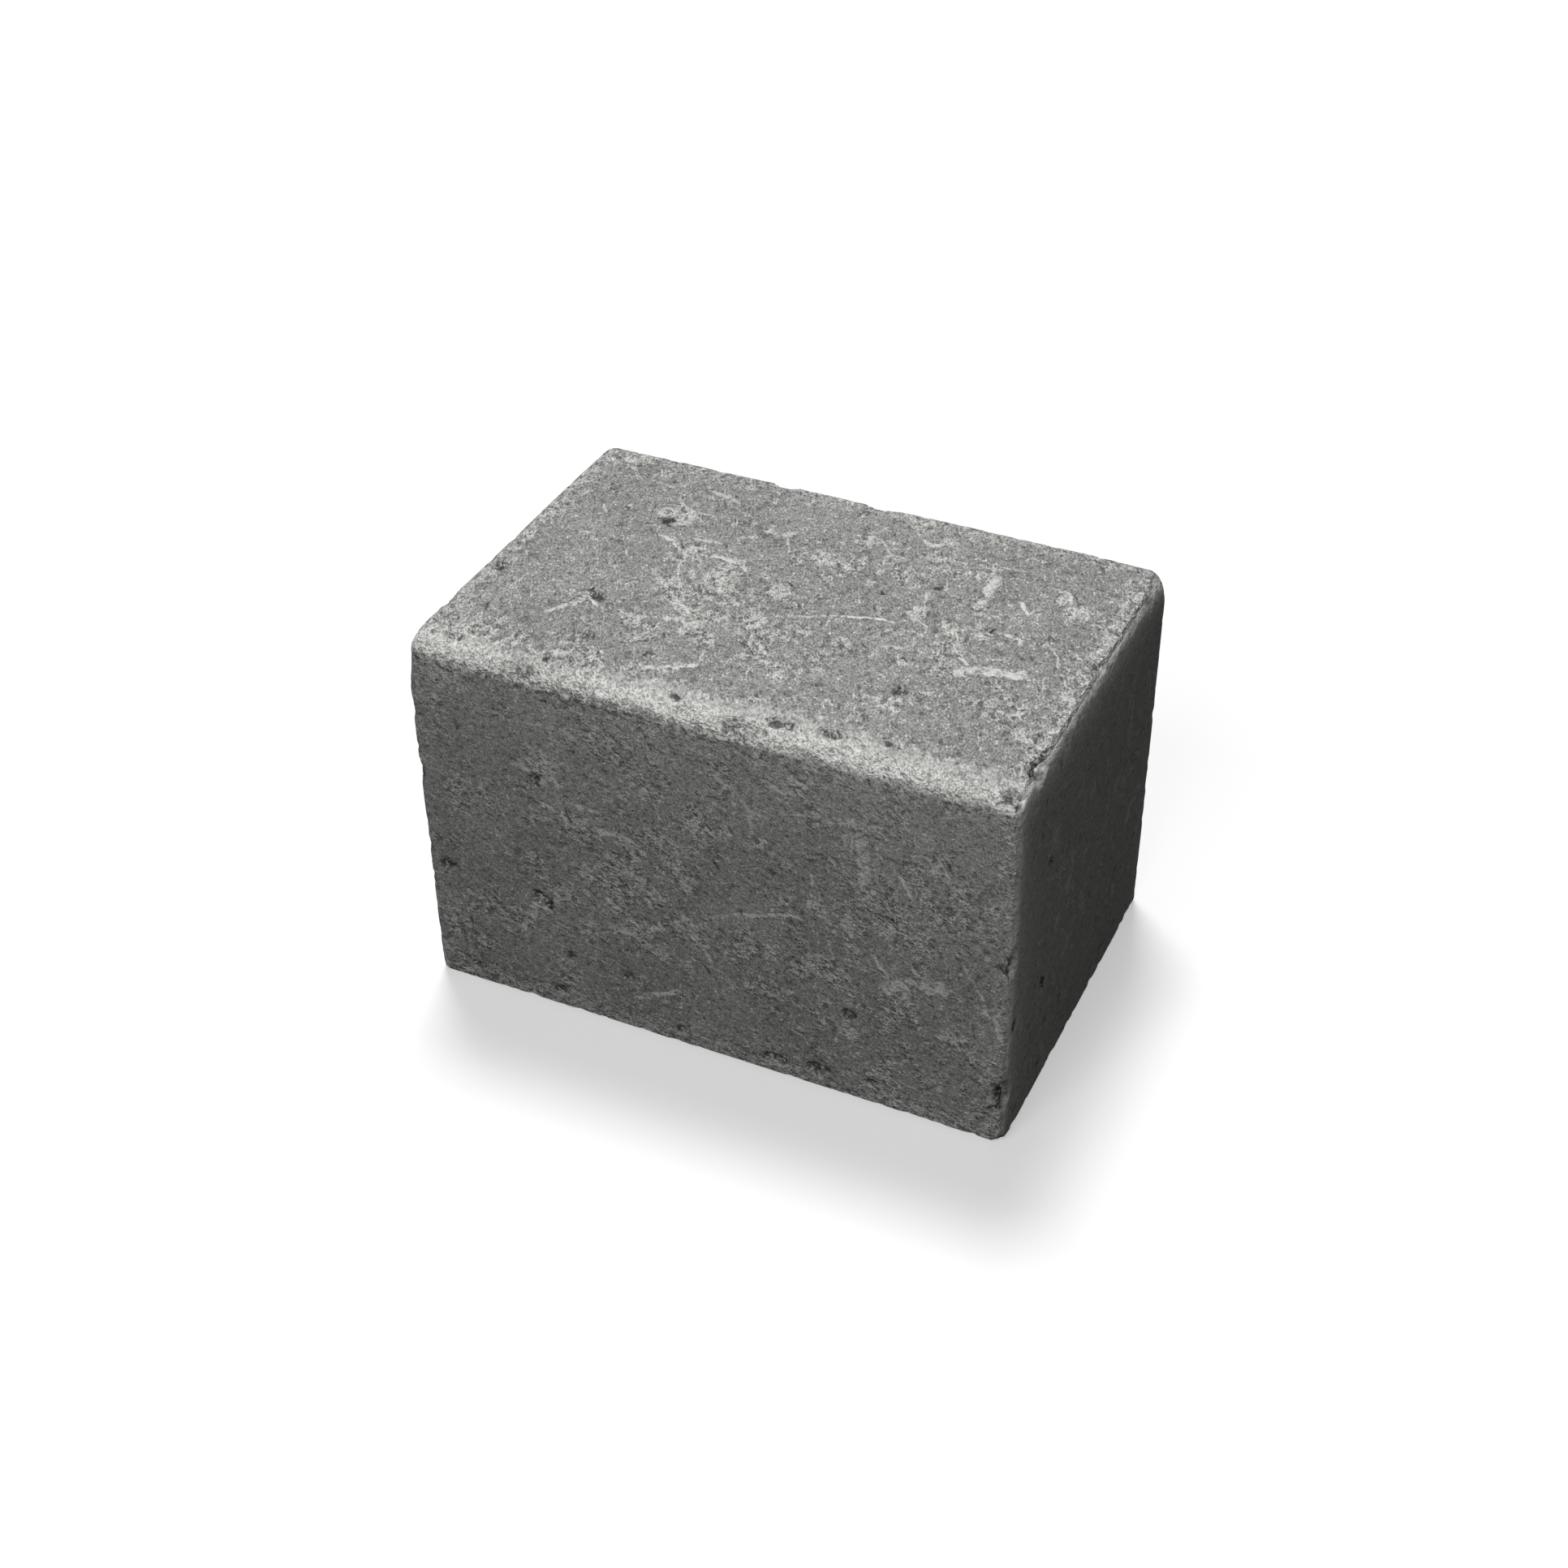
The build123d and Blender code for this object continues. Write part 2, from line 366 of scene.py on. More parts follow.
class RandomField:
    """Smooth random values in space, the same on every run."""

    ENTRIES = 256                   # length of the tables that values are picked from
    LAYER_SHIFT = 31.7              # keeps the lattices of two layers from lining up
    SPOT_REACH = (0.12, 0.32)       # smallest and largest reach of a spot, in lattice cells

    def __init__(self, seed: int) -> None:
        """Draw the field's slopes and spots, and the order that they are picked in.

        Args:
            seed: start of the random draw.
        """
        draw = np.random.default_rng(seed)
        self.order = np.tile(draw.permutation(self.ENTRIES), 2)
        slopes = draw.normal(size=(self.ENTRIES, 3))
        self.slopes = slopes / np.linalg.norm(slopes, axis=1, keepdims=True)
        self.spots = draw.random((self.ENTRIES, 4))

    def pick(self, cell: Array) -> Array:
        """Table entry for each lattice cell, by three look-ups in the shuffled order."""
        x, y, z = (cell % self.ENTRIES).T
        return self.order[self.order[self.order[x] + y] + z]

    def waves(self, points: Array, length: float) -> Array:
        """Gradient noise.

        Each of the eight lattice corners round a point has a random slope. The slope times the way from
        the corner is blended across the cell by the fade 6t^5 - 15t^4 + 10t^3.

        Args:
            points: places, one row each.
            length: side of a lattice cell, in the points' unit.

        Returns:
            One value for each point, from about -0.7 to 0.7.
        """
        scaled = points / length
        cell = np.floor(scaled).astype(np.int64)
        inside = scaled - cell
        fade = inside ** 3 * (inside * (inside * 6.0 - 15.0) + 10.0)
        total = np.zeros(len(points))
        for corner in np.ndindex(2, 2, 2):
            slope = self.slopes[self.pick(cell + corner)]
            share = np.prod(np.where(corner, fade, 1.0 - fade), axis=1)
            total += share * np.sum(slope * (inside - corner), axis=1)
        return total

    def layers(self, points: Array, length: float, count: int) -> Array:
        """Sum of count sets of waves, each half as long and half as high as the last."""
        parts = (self.waves(points + self.LAYER_SHIFT * n, length / 2 ** n) / 2 ** n for n in range(count))
        return sum(parts)

    def pocks(self, points: Array, spacing: float) -> Array:
        """Round spots scattered through space.

        Each lattice cell holds one spot at a random place with a random reach. A point's value is the
        highest, over the 27 cells round it, of one less its distance over that reach.

        Args:
            points: places, one row each.
            spacing: side of a lattice cell.

        Returns:
            1 at the middle of a spot, 0 at its rim and beyond.
        """
        scaled = points / spacing
        cell = np.floor(scaled).astype(np.int64)
        least, most = self.SPOT_REACH
        best = np.zeros(len(points))
        for step in np.ndindex(3, 3, 3):
            near = cell + np.array(step) - 1
            spot = self.spots[self.pick(near)]
            distance = np.linalg.norm(scaled - near - spot[:, :3], axis=1)
            reach = least + (most - least) * spot[:, 3] ** 3
            best = np.maximum(best, 1.0 - distance / reach)
        return best


@dataclass
class BlockLattice:
    """Grid of points over the six sides of a box, closed at every edge.

    low and high are the box's corners, and spacing is about the length of a cell's side.
    """

    low: Array
    high: Array
    spacing: float
    cells: Array = field(init=False)
    steps: Array = field(init=False)
    quads: Array = field(init=False)
    sides: dict[Side, slice] = field(init=False)
    corner_shares: Array = field(init=False)

    STRIDES = 1000 ** np.arange(3)      # turn a point's three step counts into one number and back

    def __post_init__(self) -> None:
        """Number the lattice points of all sides once, so that sides share the points on their edges."""
        self.cells = np.round((self.high - self.low) / self.spacing).astype(int)
        numbers, shares, first = [], [], 0
        self.sides = {}
        for side in Side:
            across, up = self.counts(side)
            i, j = np.meshgrid(np.arange(across + 1), np.arange(up + 1), indexing="ij")
            start = np.where(side.out + side.across + side.up > 0, 0, self.cells)
            start = np.where(side.out > 0, self.cells, np.where(side.out < 0, 0, start))
            place = start + i[..., None] * side.across + j[..., None] * side.up
            numbers.append(place @ self.STRIDES)
            share = np.stack([i / across, j / up], -1)
            shares.append(self.ring(share).reshape(-1, 4, 2))
            self.sides[side] = slice(first, first + across * up)
            first += across * up
        unique, joined = np.unique(np.concatenate([n.ravel() for n in numbers]), return_inverse=True)
        self.steps = unique[:, None] // self.STRIDES % self.STRIDES[1]
        ends = np.cumsum([n.size for n in numbers])[:-1]
        grids = [part.reshape(n.shape) for part, n in zip(np.split(joined.ravel(), ends), numbers)]
        self.quads = np.concatenate([self.ring(grid).reshape(-1, 4) for grid in grids])
        self.corner_shares = np.concatenate(shares)

    def counts(self, side: Side) -> tuple[int, int]:
        """Cells across and up a side."""
        return int(self.cells @ np.abs(side.across)), int(self.cells @ np.abs(side.up))

    @staticmethod
    def ring(grid: Array) -> Array:
        """The four corners of each cell of a grid, in order round the cell."""
        return np.stack([grid[:-1, :-1], grid[1:, :-1], grid[1:, 1:], grid[:-1, 1:]], 2)

    def rounded(self, low_reach: Array, high_reach: Array) -> tuple[Array, Array]:
        """Points and outward ways of the box with its edges rounded.

        Each point is held inside the box shrunk by the reach, and then pushed out from there to the
        ellipsoid whose half axes are the reaches. In the rounded zone the steps follow the tangent of
        equal angles, so cells stay even.

        Args:
            low_reach: how far in the rounding reaches from the low ends of X, Y and Z.
            high_reach: the same from their high ends.

        Returns:
            The points and their outward unit vectors.
        """
        middle, half = (self.low + self.high) / 2, (self.high - self.low) / 2
        offset = (self.steps / self.cells * 2 - 1) * half
        reach = np.where(offset < 0, low_reach, high_reach)
        core = half - reach
        turn = np.clip((np.abs(offset) - core) / reach, 0, 1) * math.pi / 4
        held = np.clip(offset, -core, core)
        push = np.sign(offset) * np.tan(turn)
        push /= np.linalg.norm(push, axis=1, keepdims=True)
        out = push / reach
        out /= np.linalg.norm(out, axis=1, keepdims=True)
        return middle + held + push * reach, out


@dataclass(frozen=True)
class Layers:
    """Layers of random waves: cell of the first, number, height, and how far they are moved in space."""

    cell: float
    count: int = 1
    height: float = 1.0
    shift: float = 0.0


@dataclass(frozen=True)
class Fade:
    """A strength that falls off exponentially from a side of the stone, by e over each length."""

    strength: float
    length: float

    def over(self, distance: Array) -> Array:
        """Strength at distances from the side."""
        return self.strength * np.exp(-distance / self.length)


@dataclass
class StoneSurface:
    """The worn surface of the stone, worked out point by point on a lattice. Lengths are in metres.

    A Range is where something starts to come in or fade out, and where it has.
    """

    low: Array
    high: Array
    spacing: float = 0.543 * MM
    seed: int = 7

    # How far in the rounded edges reach.
    tight_rounding: float = 0.9 * MM  # front into right side
    shoulder_rounding: float = 1.3 * MM  # right side into the honing face, as seen from above
    base_rounding: float = 1.0 * MM  # round the base
    plain_rounding: float = 2.0 * MM  # edges that are little worn
    wide_rounding: float = 2.8 * MM  # towards the top and the back
    lip_rounding: float = 4.0 * MM  # honing face into the front, as seen from above
    front_rounding: float = 2.6 * MM  # the same, as seen from the right
    right_rounding: float = 5.5 * MM  # honing face into the right side, as seen from the front

    # Where things come in or fade out.
    near_end: Range = (0.84, 0.97)  # share of the way to the top, the back or the right
    behind_lip: Range = (0.02, 0.12)  # share of the way back from the front
    belonging: Range = (0.55, 0.95)  # facing a side, for that side's marks
    square_on: Range = (0.5, 0.9)  # facing a side, for its tones
    bowl: Range = (0.45, 1.15)  # a pit's rim, in its own half sizes
    edge_zone: Range = (0.5 * MM, 7.0 * MM)  # in from an edge
    rim_zone: Range = (4.0 * MM, 10.0 * MM)  # down from the honing face and up from the base
    lip_zone: Range = (1.8 * MM, 3.8 * MM)  # down from the honing face
    mark_end: Range = (0.0, 0.6)  # past a mark's end, in mm on the face
    mark_side: Range = (0.5, 1.1)  # outside a mark's rim, in mm on the face
    straight_on: Range = (0.8, 1.0)  # facing the front, for how faint its marks are
    half_turned: Range = (0.0, 0.5)  # facing the front, for where it is rubbed most
    lip_turn: Range = (0.60, 0.90)  # facing the front, for the broken lip
    rubbed_turn: Range = (0.03, 0.30)  # facing up, for the rubbed front edge
    rubbed_run: Range = (0.0, 0.55)  # share of the worn slope over which the rubbing comes in
    whole_lip: Range = (0.35, 0.80)  # share of the length over which the lip grows less broken
    lost_skin: Range = (0.0, 0.50)  # height of the waves at which the skin is lost
    pock_wall: Range = (0.0, 0.7)  # from a pock mark's rim to its floor
    pock_cluster: Range = (-0.15, 0.25)  # height of the waves at which pock marks cluster
    chip_zone: Range = (0.05 * MM, 0.30 * MM)  # depth of a cut, from fresh skin to a chip's floor in painted shade

    # Random waves.
    pit_rims: Layers = Layers(1.6 * MM, 2, 0.9)
    mark_wavers: tuple[Layers, Layers] = (Layers(5 * MM, 2, 0.6), Layers(5 * MM, 2, 0.6, 90 * MM))
    slope_waver: Layers = Layers(5 * MM, 2, MM)
    saw_waves: Layers = Layers(16 * MM, 4)
    skin_loss: Layers = Layers(4.5 * MM, 3, 1.0, 50 * MM)
    loss_clusters: Layers = Layers(15 * MM, 1, 0.6, 20 * MM)
    pock_clusters: Layers = Layers(11 * MM)
    crumbs: Layers = Layers(2.4 * MM, 3)
    chip_walls: Layers = Layers(1.5 * MM, 3, 0.50 * MM)

    # How strong the tones are.
    front_painted_light: Fade = Fade(1.0, 14 * MM)  # painted light, falling off down from the honing face
    right_painted_light: Fade = Fade(4.0, 3 * MM)  # painted light, the same on the right side
    corner_painted_light: Fade = Fade(1.6, 4 * MM)  # painted light, falling off back from the front on the right side
    # Edges painted paler, partly as wear and partly as painted highlight.
    edge_wear_and_highlight: float = 0.45
    fainter_front: float = 0.15  # how much fainter the marks are on the front
    fainter_right: float = 0.65  # the same on the right side
    rubbed: float = 0.85  # how smooth the front edge is rubbed
    rubbed_front: float = 0.30  # how much more towards the front, in roughness and in painted highlight
    whole_right: float = 0.5  # how much less broken the lip is on the right
    edge_loss: float = 0.12  # skin lost along the edges
    rim_loss: float = 0.70  # how much more along the rims of the honing face and the base
    wear_and_highlight_ends: tuple[float, float] = (1.10, 0.90)  # how strongly the slope is painted pale, as wear and as painted highlight, left and right
    full_hollow: float = 0.30 * MM  # depth of a pit whose floor gets the full painted shade

    # How deep the surface is cut.
    worn_drop: float = 0.75 * MM
    worn_front: float = 9.0 * MM  # how far down the front the wear goes
    wave_height: float = 0.10 * MM
    wave_middle: float = 0.5  # how far the waves are sunk, in their own height
    pock_spacing: float = 3.6 * MM
    pock_depth: float = 0.30 * MM
    fewer_pocks: float = 0.8  # how far the edges are kept clear of them
    crumb_depth: float = 0.40 * MM
    chip_limit: float = 2.5  # deepest cut of a chip, in its own depths
    chip_margin: float = 4.0 * MM  # room round a chip in which the edge's crest is found

    lattice: BlockLattice = field(init=False)
    points: Array = field(init=False)
    out: Array = field(init=False)
    place: Array = field(init=False)
    random: RandomField = field(init=False)
    tones: dict[str, Array] = field(init=False)

    def __post_init__(self) -> None:
        """Work out the points and the tones that the finish reads."""
        self.lattice = BlockLattice(self.low, self.high, self.spacing)
        self.points, self.out = self.lattice.rounded(*self.rounding())
        self.place = self.points.copy()
        self.random = RandomField(self.seed)
        self.tones = {"pale": self.bruises(), "edge": self.nearness_to_edges(), "polish": self.polish()}
        self.tones["marked"] = self.marked()
        self.tones["bleach_and_painted_light"] = self.bleach_and_painted_light()
        self.tones["lip"] = self.lip()
        self.tones["wear_and_highlight"] = self.wear_and_highlight()
        self.draw_marks("scuff", SCUFFS)
        self.draw_marks("slit", SLITS)
        pits = self.pits()
        self.tones["hollow"] = np.clip(pits / self.full_hollow, 0, 1)
        self.tones["eroded"] = self.erosion()
        self.wear_slope()
        self.sink(pits)
        self.sink(self.unevenness())
        self.sink(self.pock_marks())
        self.sink(self.crumbled_edges())
        self.cut_chips()

    def rounding(self) -> tuple[Array, Array]:
        """How far in the rounding reaches at each lattice point.

        The front side turns into the right side in a tight edge. Towards the top and the back the edges
        are worn rounder, the front and right sides most of all along their tops.

        Returns:
            The reaches from the low ends of X, Y and Z, and the reaches from their high ends.
        """
        shares = (self.lattice.steps / self.lattice.cells).T
        back, top = shares[1:]
        near_right, near_back, near_top = smooth_step(shares, *self.near_end)
        plain = np.full(len(top), self.plain_rounding)
        wide = plain + (self.wide_rounding - plain) * near_top
        lip = plain + (self.lip_rounding - plain) * near_top
        base = np.full(len(top), self.base_rounding)
        turned = self.tight_rounding + (self.shoulder_rounding - self.tight_rounding) * near_top
        turned += (self.wide_rounding - turned) * near_back
        along_right = near_right * smooth_step(back, *self.behind_lip)
        over = self.front_rounding + (self.right_rounding - self.front_rounding) * along_right
        over += (self.wide_rounding - over) * near_back * (1 - near_right)
        behind = np.full(len(top), self.wide_rounding)
        return np.stack([wide, lip, base], -1), np.stack([turned, behind, over], -1)

    def ripple(self, layers: Layers, along: tuple[int, int, int] = (1, 1, 1)) -> Array:
        """Height of layers of waves at each point, which don't change along the ways given as 0."""
        place = self.place * along + layers.shift
        return self.random.layers(place, layers.cell, layers.count) * layers.height

    def sink(self, depth: Array) -> None:
        """Move every point inwards by its depth."""
        self.points -= self.out * depth[:, None]

    def along_stone(self) -> Array:
        """Share of the way along the stone, from its left end to its right end."""
        return (self.place[:, 0] - self.low[0]) / (self.high[0] - self.low[0])

    def below_top(self) -> Array:
        """How far below the honing face each point lies."""
        return self.high[2] - self.place[:, 2]

    def facing(self, side: Side, low: float, high: float) -> Array:
        """How squarely each point faces a side: 0 up to the cosine low, 1 from the cosine high."""
        return smooth_step(self.out @ side.out, low, high)

    def on_side(self, side: Side) -> tuple[Array, Array, Array]:
        """Where each point lies in a side's layout of marks, in mm, and how much it belongs to that side.

        Args:
            side: the side asked for.

        Returns:
            Millimetres across and down the layout, and a share from 0 to 1.
        """
        middle, size = (self.low + self.high) / 2, self.high - self.low
        turn_across, turn_up = TURNS[side].value
        across = (self.place - middle) @ side.across / (size @ np.abs(side.across)) * turn_across
        up = (self.place - middle) @ side.up / (size @ np.abs(side.up)) * turn_up
        across_mm = (0.5 + across) * PATTERN_SIZE[0]
        down_mm = (0.5 - up) * PATTERN_SIZE[1] - PATTERN_SHIFT
        return across_mm, down_mm, self.facing(side, *self.belonging)

    def pits(self) -> Array:
        """Dig the placed pits: flat-bottomed bowls with an uneven rim, on every side.

        Returns:
            How deep each point lies in a pit, in metres.
        """
        depth = np.zeros(len(self.place))
        ragged = self.ripple(self.pit_rims)
        for side in Side:
            across, down, share = self.on_side(side)
            for pit in PITS:
                angle = math.radians(pit.tilt)
                x, y = across - pit.across, down - pit.down
                along = x * math.cos(angle) - y * math.sin(angle)
                over = x * math.sin(angle) + y * math.cos(angle)
                reach = np.hypot(along / pit.width, over / pit.height) * 2
                bowl = 1 - smooth_step(reach + ragged, *self.bowl)
                depth = np.maximum(depth, bowl * share * pit.depth * MM)
        return depth

    def draw_marks(self, kind: str, marks: tuple[Scuff, ...]) -> None:
        """Note how each point lies to the nearest mark, for the finish to draw the mark from.

        The offset is the signed distance beside the mark's path over half its width, so it is right
        between the lattice points too. The strength fades past the mark's ends and well outside its rims.

        Args:
            kind: name of this kind of mark, which starts the names of its two tones.
            marks: the marks.
        """
        offset, strength = np.zeros((2, len(self.place)))
        nearest = np.full(len(self.place), np.inf)
        wavers = [self.ripple(layers) for layers in self.mark_wavers]
        for side in Side:
            across, down, share = self.on_side(side)
            own = np.flatnonzero(share)
            across, down = across[own] + wavers[0][own], down[own] + wavers[1][own]
            for mark in marks:
                for start, end in zip(mark.path, mark.path[1:]):
                    length = math.dist(start, end)
                    run = (np.array(end) - start) / length
                    x, y = across - start[0], down - start[1]
                    along, beside = x * run[0] + y * run[1], x * run[1] - y * run[0]
                    past = np.clip(np.abs(along - length / 2) - length / 2, 0, None)
                    gap = np.hypot(past, beside) - mark.width / 2
                    closer = gap < nearest[own]
                    spot = own[closer]
                    fade = 1 - smooth_step(past, *self.mark_end)
                    fade *= 1 - smooth_step(gap, *self.mark_side)
                    nearest[spot] = gap[closer]
                    offset[spot] = beside[closer] / (mark.width / 2)
                    strength[spot] = (fade * share[own] * mark.strength)[closer]
        self.tones[f"{kind}_offset"] = offset
        self.tones[f"{kind}_strength"] = strength

    def bruises(self) -> Array:
        """Lay the bruised patches, each fading out from its centre.

        Returns:
            How pale each point is, from 0 to 1.
        """
        pale = np.zeros(len(self.place))
        for side in Side:
            across, down, share = self.on_side(side)
            for patch in PATCHES:
                reach = np.hypot(across - patch.across, down - patch.down) / patch.radius
                pale = np.maximum(pale, np.exp(-reach ** 2) * share * patch.strength)
        return pale

    def nearness_to_edges(self) -> Array:
        """Find the edges, by how far each point lies in from the second nearest side.

        Returns:
            1 on the rounded edges, falling to 0 some way in on the faces.
        """
        inside = np.minimum(self.place - self.low, self.high - self.place)
        second = np.sort(inside, axis=1)[:, 1]
        return 1 - smooth_step(second, *self.edge_zone)

    def marked(self) -> Array:
        """Work out how strongly the marks and the grain show.

        Returns:
            1 on most of the stone, less on the front, and least on the right side.
        """
        right = self.fainter_right * self.facing(Side.RIGHT, *self.square_on)
        front = self.fainter_front * self.facing(Side.FRONT, *self.straight_on)
        return 1 - right - front

    def front_run(self) -> Array:
        """Lay out the worn slope along the front edge, whose run differs from place to place.

        Returns:
            0 where the slope starts on the honing face and behind it, 1 at the front face.
        """
        from_front = self.place[:, 1] - self.low[1]
        run = np.interp(self.along_stone() * PATTERN_SIZE[0], WORN_PLACES, WORN_RUNS) * MM
        waver = self.ripple(self.slope_waver, (1, 0, 0))
        return np.clip(1 - (from_front + waver) / run, 0, 1)

    def wear_and_highlight(self) -> Array:
        """How pale the slope is painted, partly as wear and partly as painted highlight: a little more at
        the left end than at the right end.
        """
        left, right = self.wear_and_highlight_ends
        return self.front_run() * (left + (right - left) * self.along_stone())

    def polish(self) -> Array:
        """Work out where the front edge of the honing face is rubbed smooth, which also places the painted
        highlight on it.

        Returns:
            0 for untouched stone, 1 and a little over where it is rubbed most.
        """
        facing_up = self.facing(Side.TOP, *self.rubbed_turn)
        most = self.rubbed + self.rubbed_front * self.facing(Side.FRONT, *self.half_turned)
        return smooth_step(self.front_run(), *self.rubbed_run) * facing_up * most

    def bleach_and_painted_light(self) -> Array:
        """Work out where the stone is painted lighter: painted light at the top of the front face and at the
        top and front of the right side, where light falls, and wear with painted highlight on the edges.

        It falls off exponentially with the way down from the honing face and back from the front.

        Returns:
            0 where nothing is painted lighter, 1 and over where it is lightest.
        """
        down, back = self.below_top(), self.place[:, 1] - self.low[1]
        front = self.front_painted_light.over(down) * self.facing(Side.FRONT, *self.square_on)
        right = np.maximum(self.corner_painted_light.over(back), self.right_painted_light.over(down))
        right *= self.facing(Side.RIGHT, *self.square_on)
        return np.maximum(np.maximum(front, right), self.edge_wear_and_highlight * self.tones["edge"])

    def lip(self) -> Array:
        """How much the lip between the honing face and the front has broken away: most on the left."""
        lip = self.facing(Side.FRONT, *self.lip_turn) * (1 - smooth_step(self.below_top(), *self.lip_zone))
        return lip * (1 - self.whole_right * smooth_step(self.along_stone(), *self.whole_lip))

    def wear_slope(self) -> None:
        """Lower the honing face towards its front edge, in a parabola, and the front's top with it."""
        depth_share = smooth_step(self.below_top(), 0.0, self.worn_front)
        self.points[:, 2] -= self.worn_drop * self.front_run() ** 2 * (1 - depth_share)

    def unevenness(self) -> Array:
        """Long, low waves left by sawing and use."""
        waves = self.wave_middle + self.ripple(self.saw_waves)
        return (waves + self.tones["eroded"]) * self.wave_height

    def erosion(self) -> Array:
        """Work out where the sawn skin has flaked away and the grain stands open.

        Returns:
            0 on whole skin, 1 where it is gone.
        """
        lost = smooth_step(self.ripple(self.skin_loss) + self.ripple(self.loss_clusters), *self.lost_skin)
        edge = self.tones["edge"] * (self.edge_loss + self.rim_loss * self.near_rim())
        return np.maximum(lost, np.maximum(self.tones["pale"], edge)) * self.tones["marked"]

    def near_rim(self) -> Array:
        """1 on the edges round the honing face and round the base, falling to 0 between them."""
        off = np.minimum(self.below_top(), self.place[:, 2] - self.low[2])
        return 1 - smooth_step(off, *self.rim_zone)

    def pock_marks(self) -> Array:
        """Scatter small pits at random, in clusters, and fewer of them on the edges.

        Returns:
            How deep each point lies in one, in metres.
        """
        spots = smooth_step(self.random.pocks(self.place, self.pock_spacing), *self.pock_wall)
        clusters = smooth_step(self.ripple(self.pock_clusters), *self.pock_cluster)
        spots *= clusters * (1 - self.fewer_pocks * self.tones["edge"])
        # The pock marks get the pits' painted shade too.
        self.tones["hollow"] = np.maximum(self.tones["hollow"], spots)
        return spots * self.pock_depth

    def crumbled_edges(self) -> Array:
        """Lost grains along the edges."""
        crumbs = np.clip(self.ripple(self.crumbs), 0, None)
        return crumbs * self.tones["edge"] ** 2 * self.crumb_depth

    def cut_chips(self) -> None:
        """Cut each edge chip: a point inside the chip's ball goes straight in to the ball's far wall."""
        middle, half = (self.low + self.high) / 2, (self.high - self.low) / 2
        ragged = self.ripple(self.chip_walls)
        cut = np.zeros(len(self.points))
        for chip in CHIPS:
            sides = sum(side.out for side in chip.sides)
            run = 1 - np.abs(sides)
            corner = middle + half * (sides + run * chip.along * 2)
            outward = sides / np.linalg.norm(sides)
            width, depth = chip.width * MM, chip.depth * MM
            radius = (width ** 2 / 4 + depth ** 2) / (2 * depth)
            near = np.linalg.norm(self.points - corner, axis=1) < width / 2 + self.chip_margin
            crest = np.max((self.points[near] - corner) @ outward)
            centre = corner + outward * (radius - depth + crest)
            way = self.points - centre
            along = np.sum(way * self.out, axis=1)
            inside = (radius + ragged) ** 2 - np.sum(way ** 2, axis=1)
            move = along + np.sqrt(along ** 2 + np.clip(inside, 0, None))
            cut = np.maximum(cut, np.where(inside > 0, np.clip(move, 0, self.chip_limit * depth), 0))
        # The chip tone sets where the chips' floors get painted shade.
        self.tones["chip"] = smooth_step(cut, *self.chip_zone)
        self.sink(cut)


def build_mesh(name: str, surface: StoneSurface) -> bpy.types.Object:
    """Make the mesh object of a stone surface, with its maps and tones.

    Args:
        name: name of the object and its mesh.
        surface: the worked-out surface.

    Returns:
        The new object, linked to the scene.
    """
    lattice = surface.lattice
    mesh = bpy.data.meshes.new(name)
    mesh.from_pydata(surface.points.tolist(), [], lattice.quads.tolist())
    mesh.polygons.foreach_set("use_smooth", np.ones(len(lattice.quads), bool))
    for map_name, places in ((FACE_MAP, face_places(lattice)), (BAKE_MAP, bake_places(lattice))):
        uv_map = mesh.uv_layers.new(name=map_name)
        uv_map.uv.foreach_set("vector", places.astype(np.float32).ravel())
    for tone, values in surface.tones.items():
        attribute = mesh.attributes.new(tone, "FLOAT", "POINT")
        attribute.data.foreach_set("value", values.astype(np.float32))
    mesh.update()
    piece = bpy.data.objects.new(name, mesh)
    bpy.context.scene.collection.objects.link(piece)
    return piece


def face_places(lattice: BlockLattice) -> Array:
    """Lay the layout of marks on every side, turned as the side is.

    Args:
        lattice: the stone's lattice.

    Returns:
        The place of each face corner in the layout, in mm across and down.
    """
    places = np.empty_like(lattice.corner_shares)
    for side, faces in lattice.sides.items():
        share = (lattice.corner_shares[faces] - 0.5) * TURNS[side].value
        places[faces] = np.stack([0.5 + share[..., 0], 0.5 - share[..., 1]], -1) * PATTERN_SIZE
    return places


def bake_places(lattice: BlockLattice) -> Array:
    """Lay the six sides out in the texture square, in two columns and three rows.

    Args:
        lattice: the stone's lattice.

    Returns:
        The place of each face corner in the square.
    """
    margin = 0.006
    columns, rows = 2, 3
    order = (Side.TOP, Side.FRONT, Side.BACK, Side.BASE, Side.LEFT, Side.RIGHT)
    sizes = np.array([lattice.counts(side) for side in order])
    cell = 1 / np.array([columns, rows])
    places = np.empty_like(lattice.corner_shares)
    for number, side in enumerate(order):
        faces = lattice.sides[side]
        corner = cell * (number % columns, number // columns) + margin
        room = (cell - 2 * margin) * sizes[number] / sizes.max(axis=0)
        places[faces] = corner + lattice.corner_shares[faces] * room
    return places


# -------------------------------------------------------------------------------------------- finish

@dataclass(frozen=True)
class Noise:
    """Noise with lumps of about this size, in mm: its finer layers, their strength and its warp."""

    size: float
    detail: float = 2.0
    rough: float = 0.5
    warp: float = 0.0


@dataclass(frozen=True)
class Grade:
    """A smooth rise from start, at the value low and below, to end, at the value high and above."""

    low: float
    high: float
    start: float = 0.0
    end: float = 1.0


@dataclass(frozen=True)
class Ramp:
    """A straight line: a value times slope, plus base."""

    slope: float
    base: float


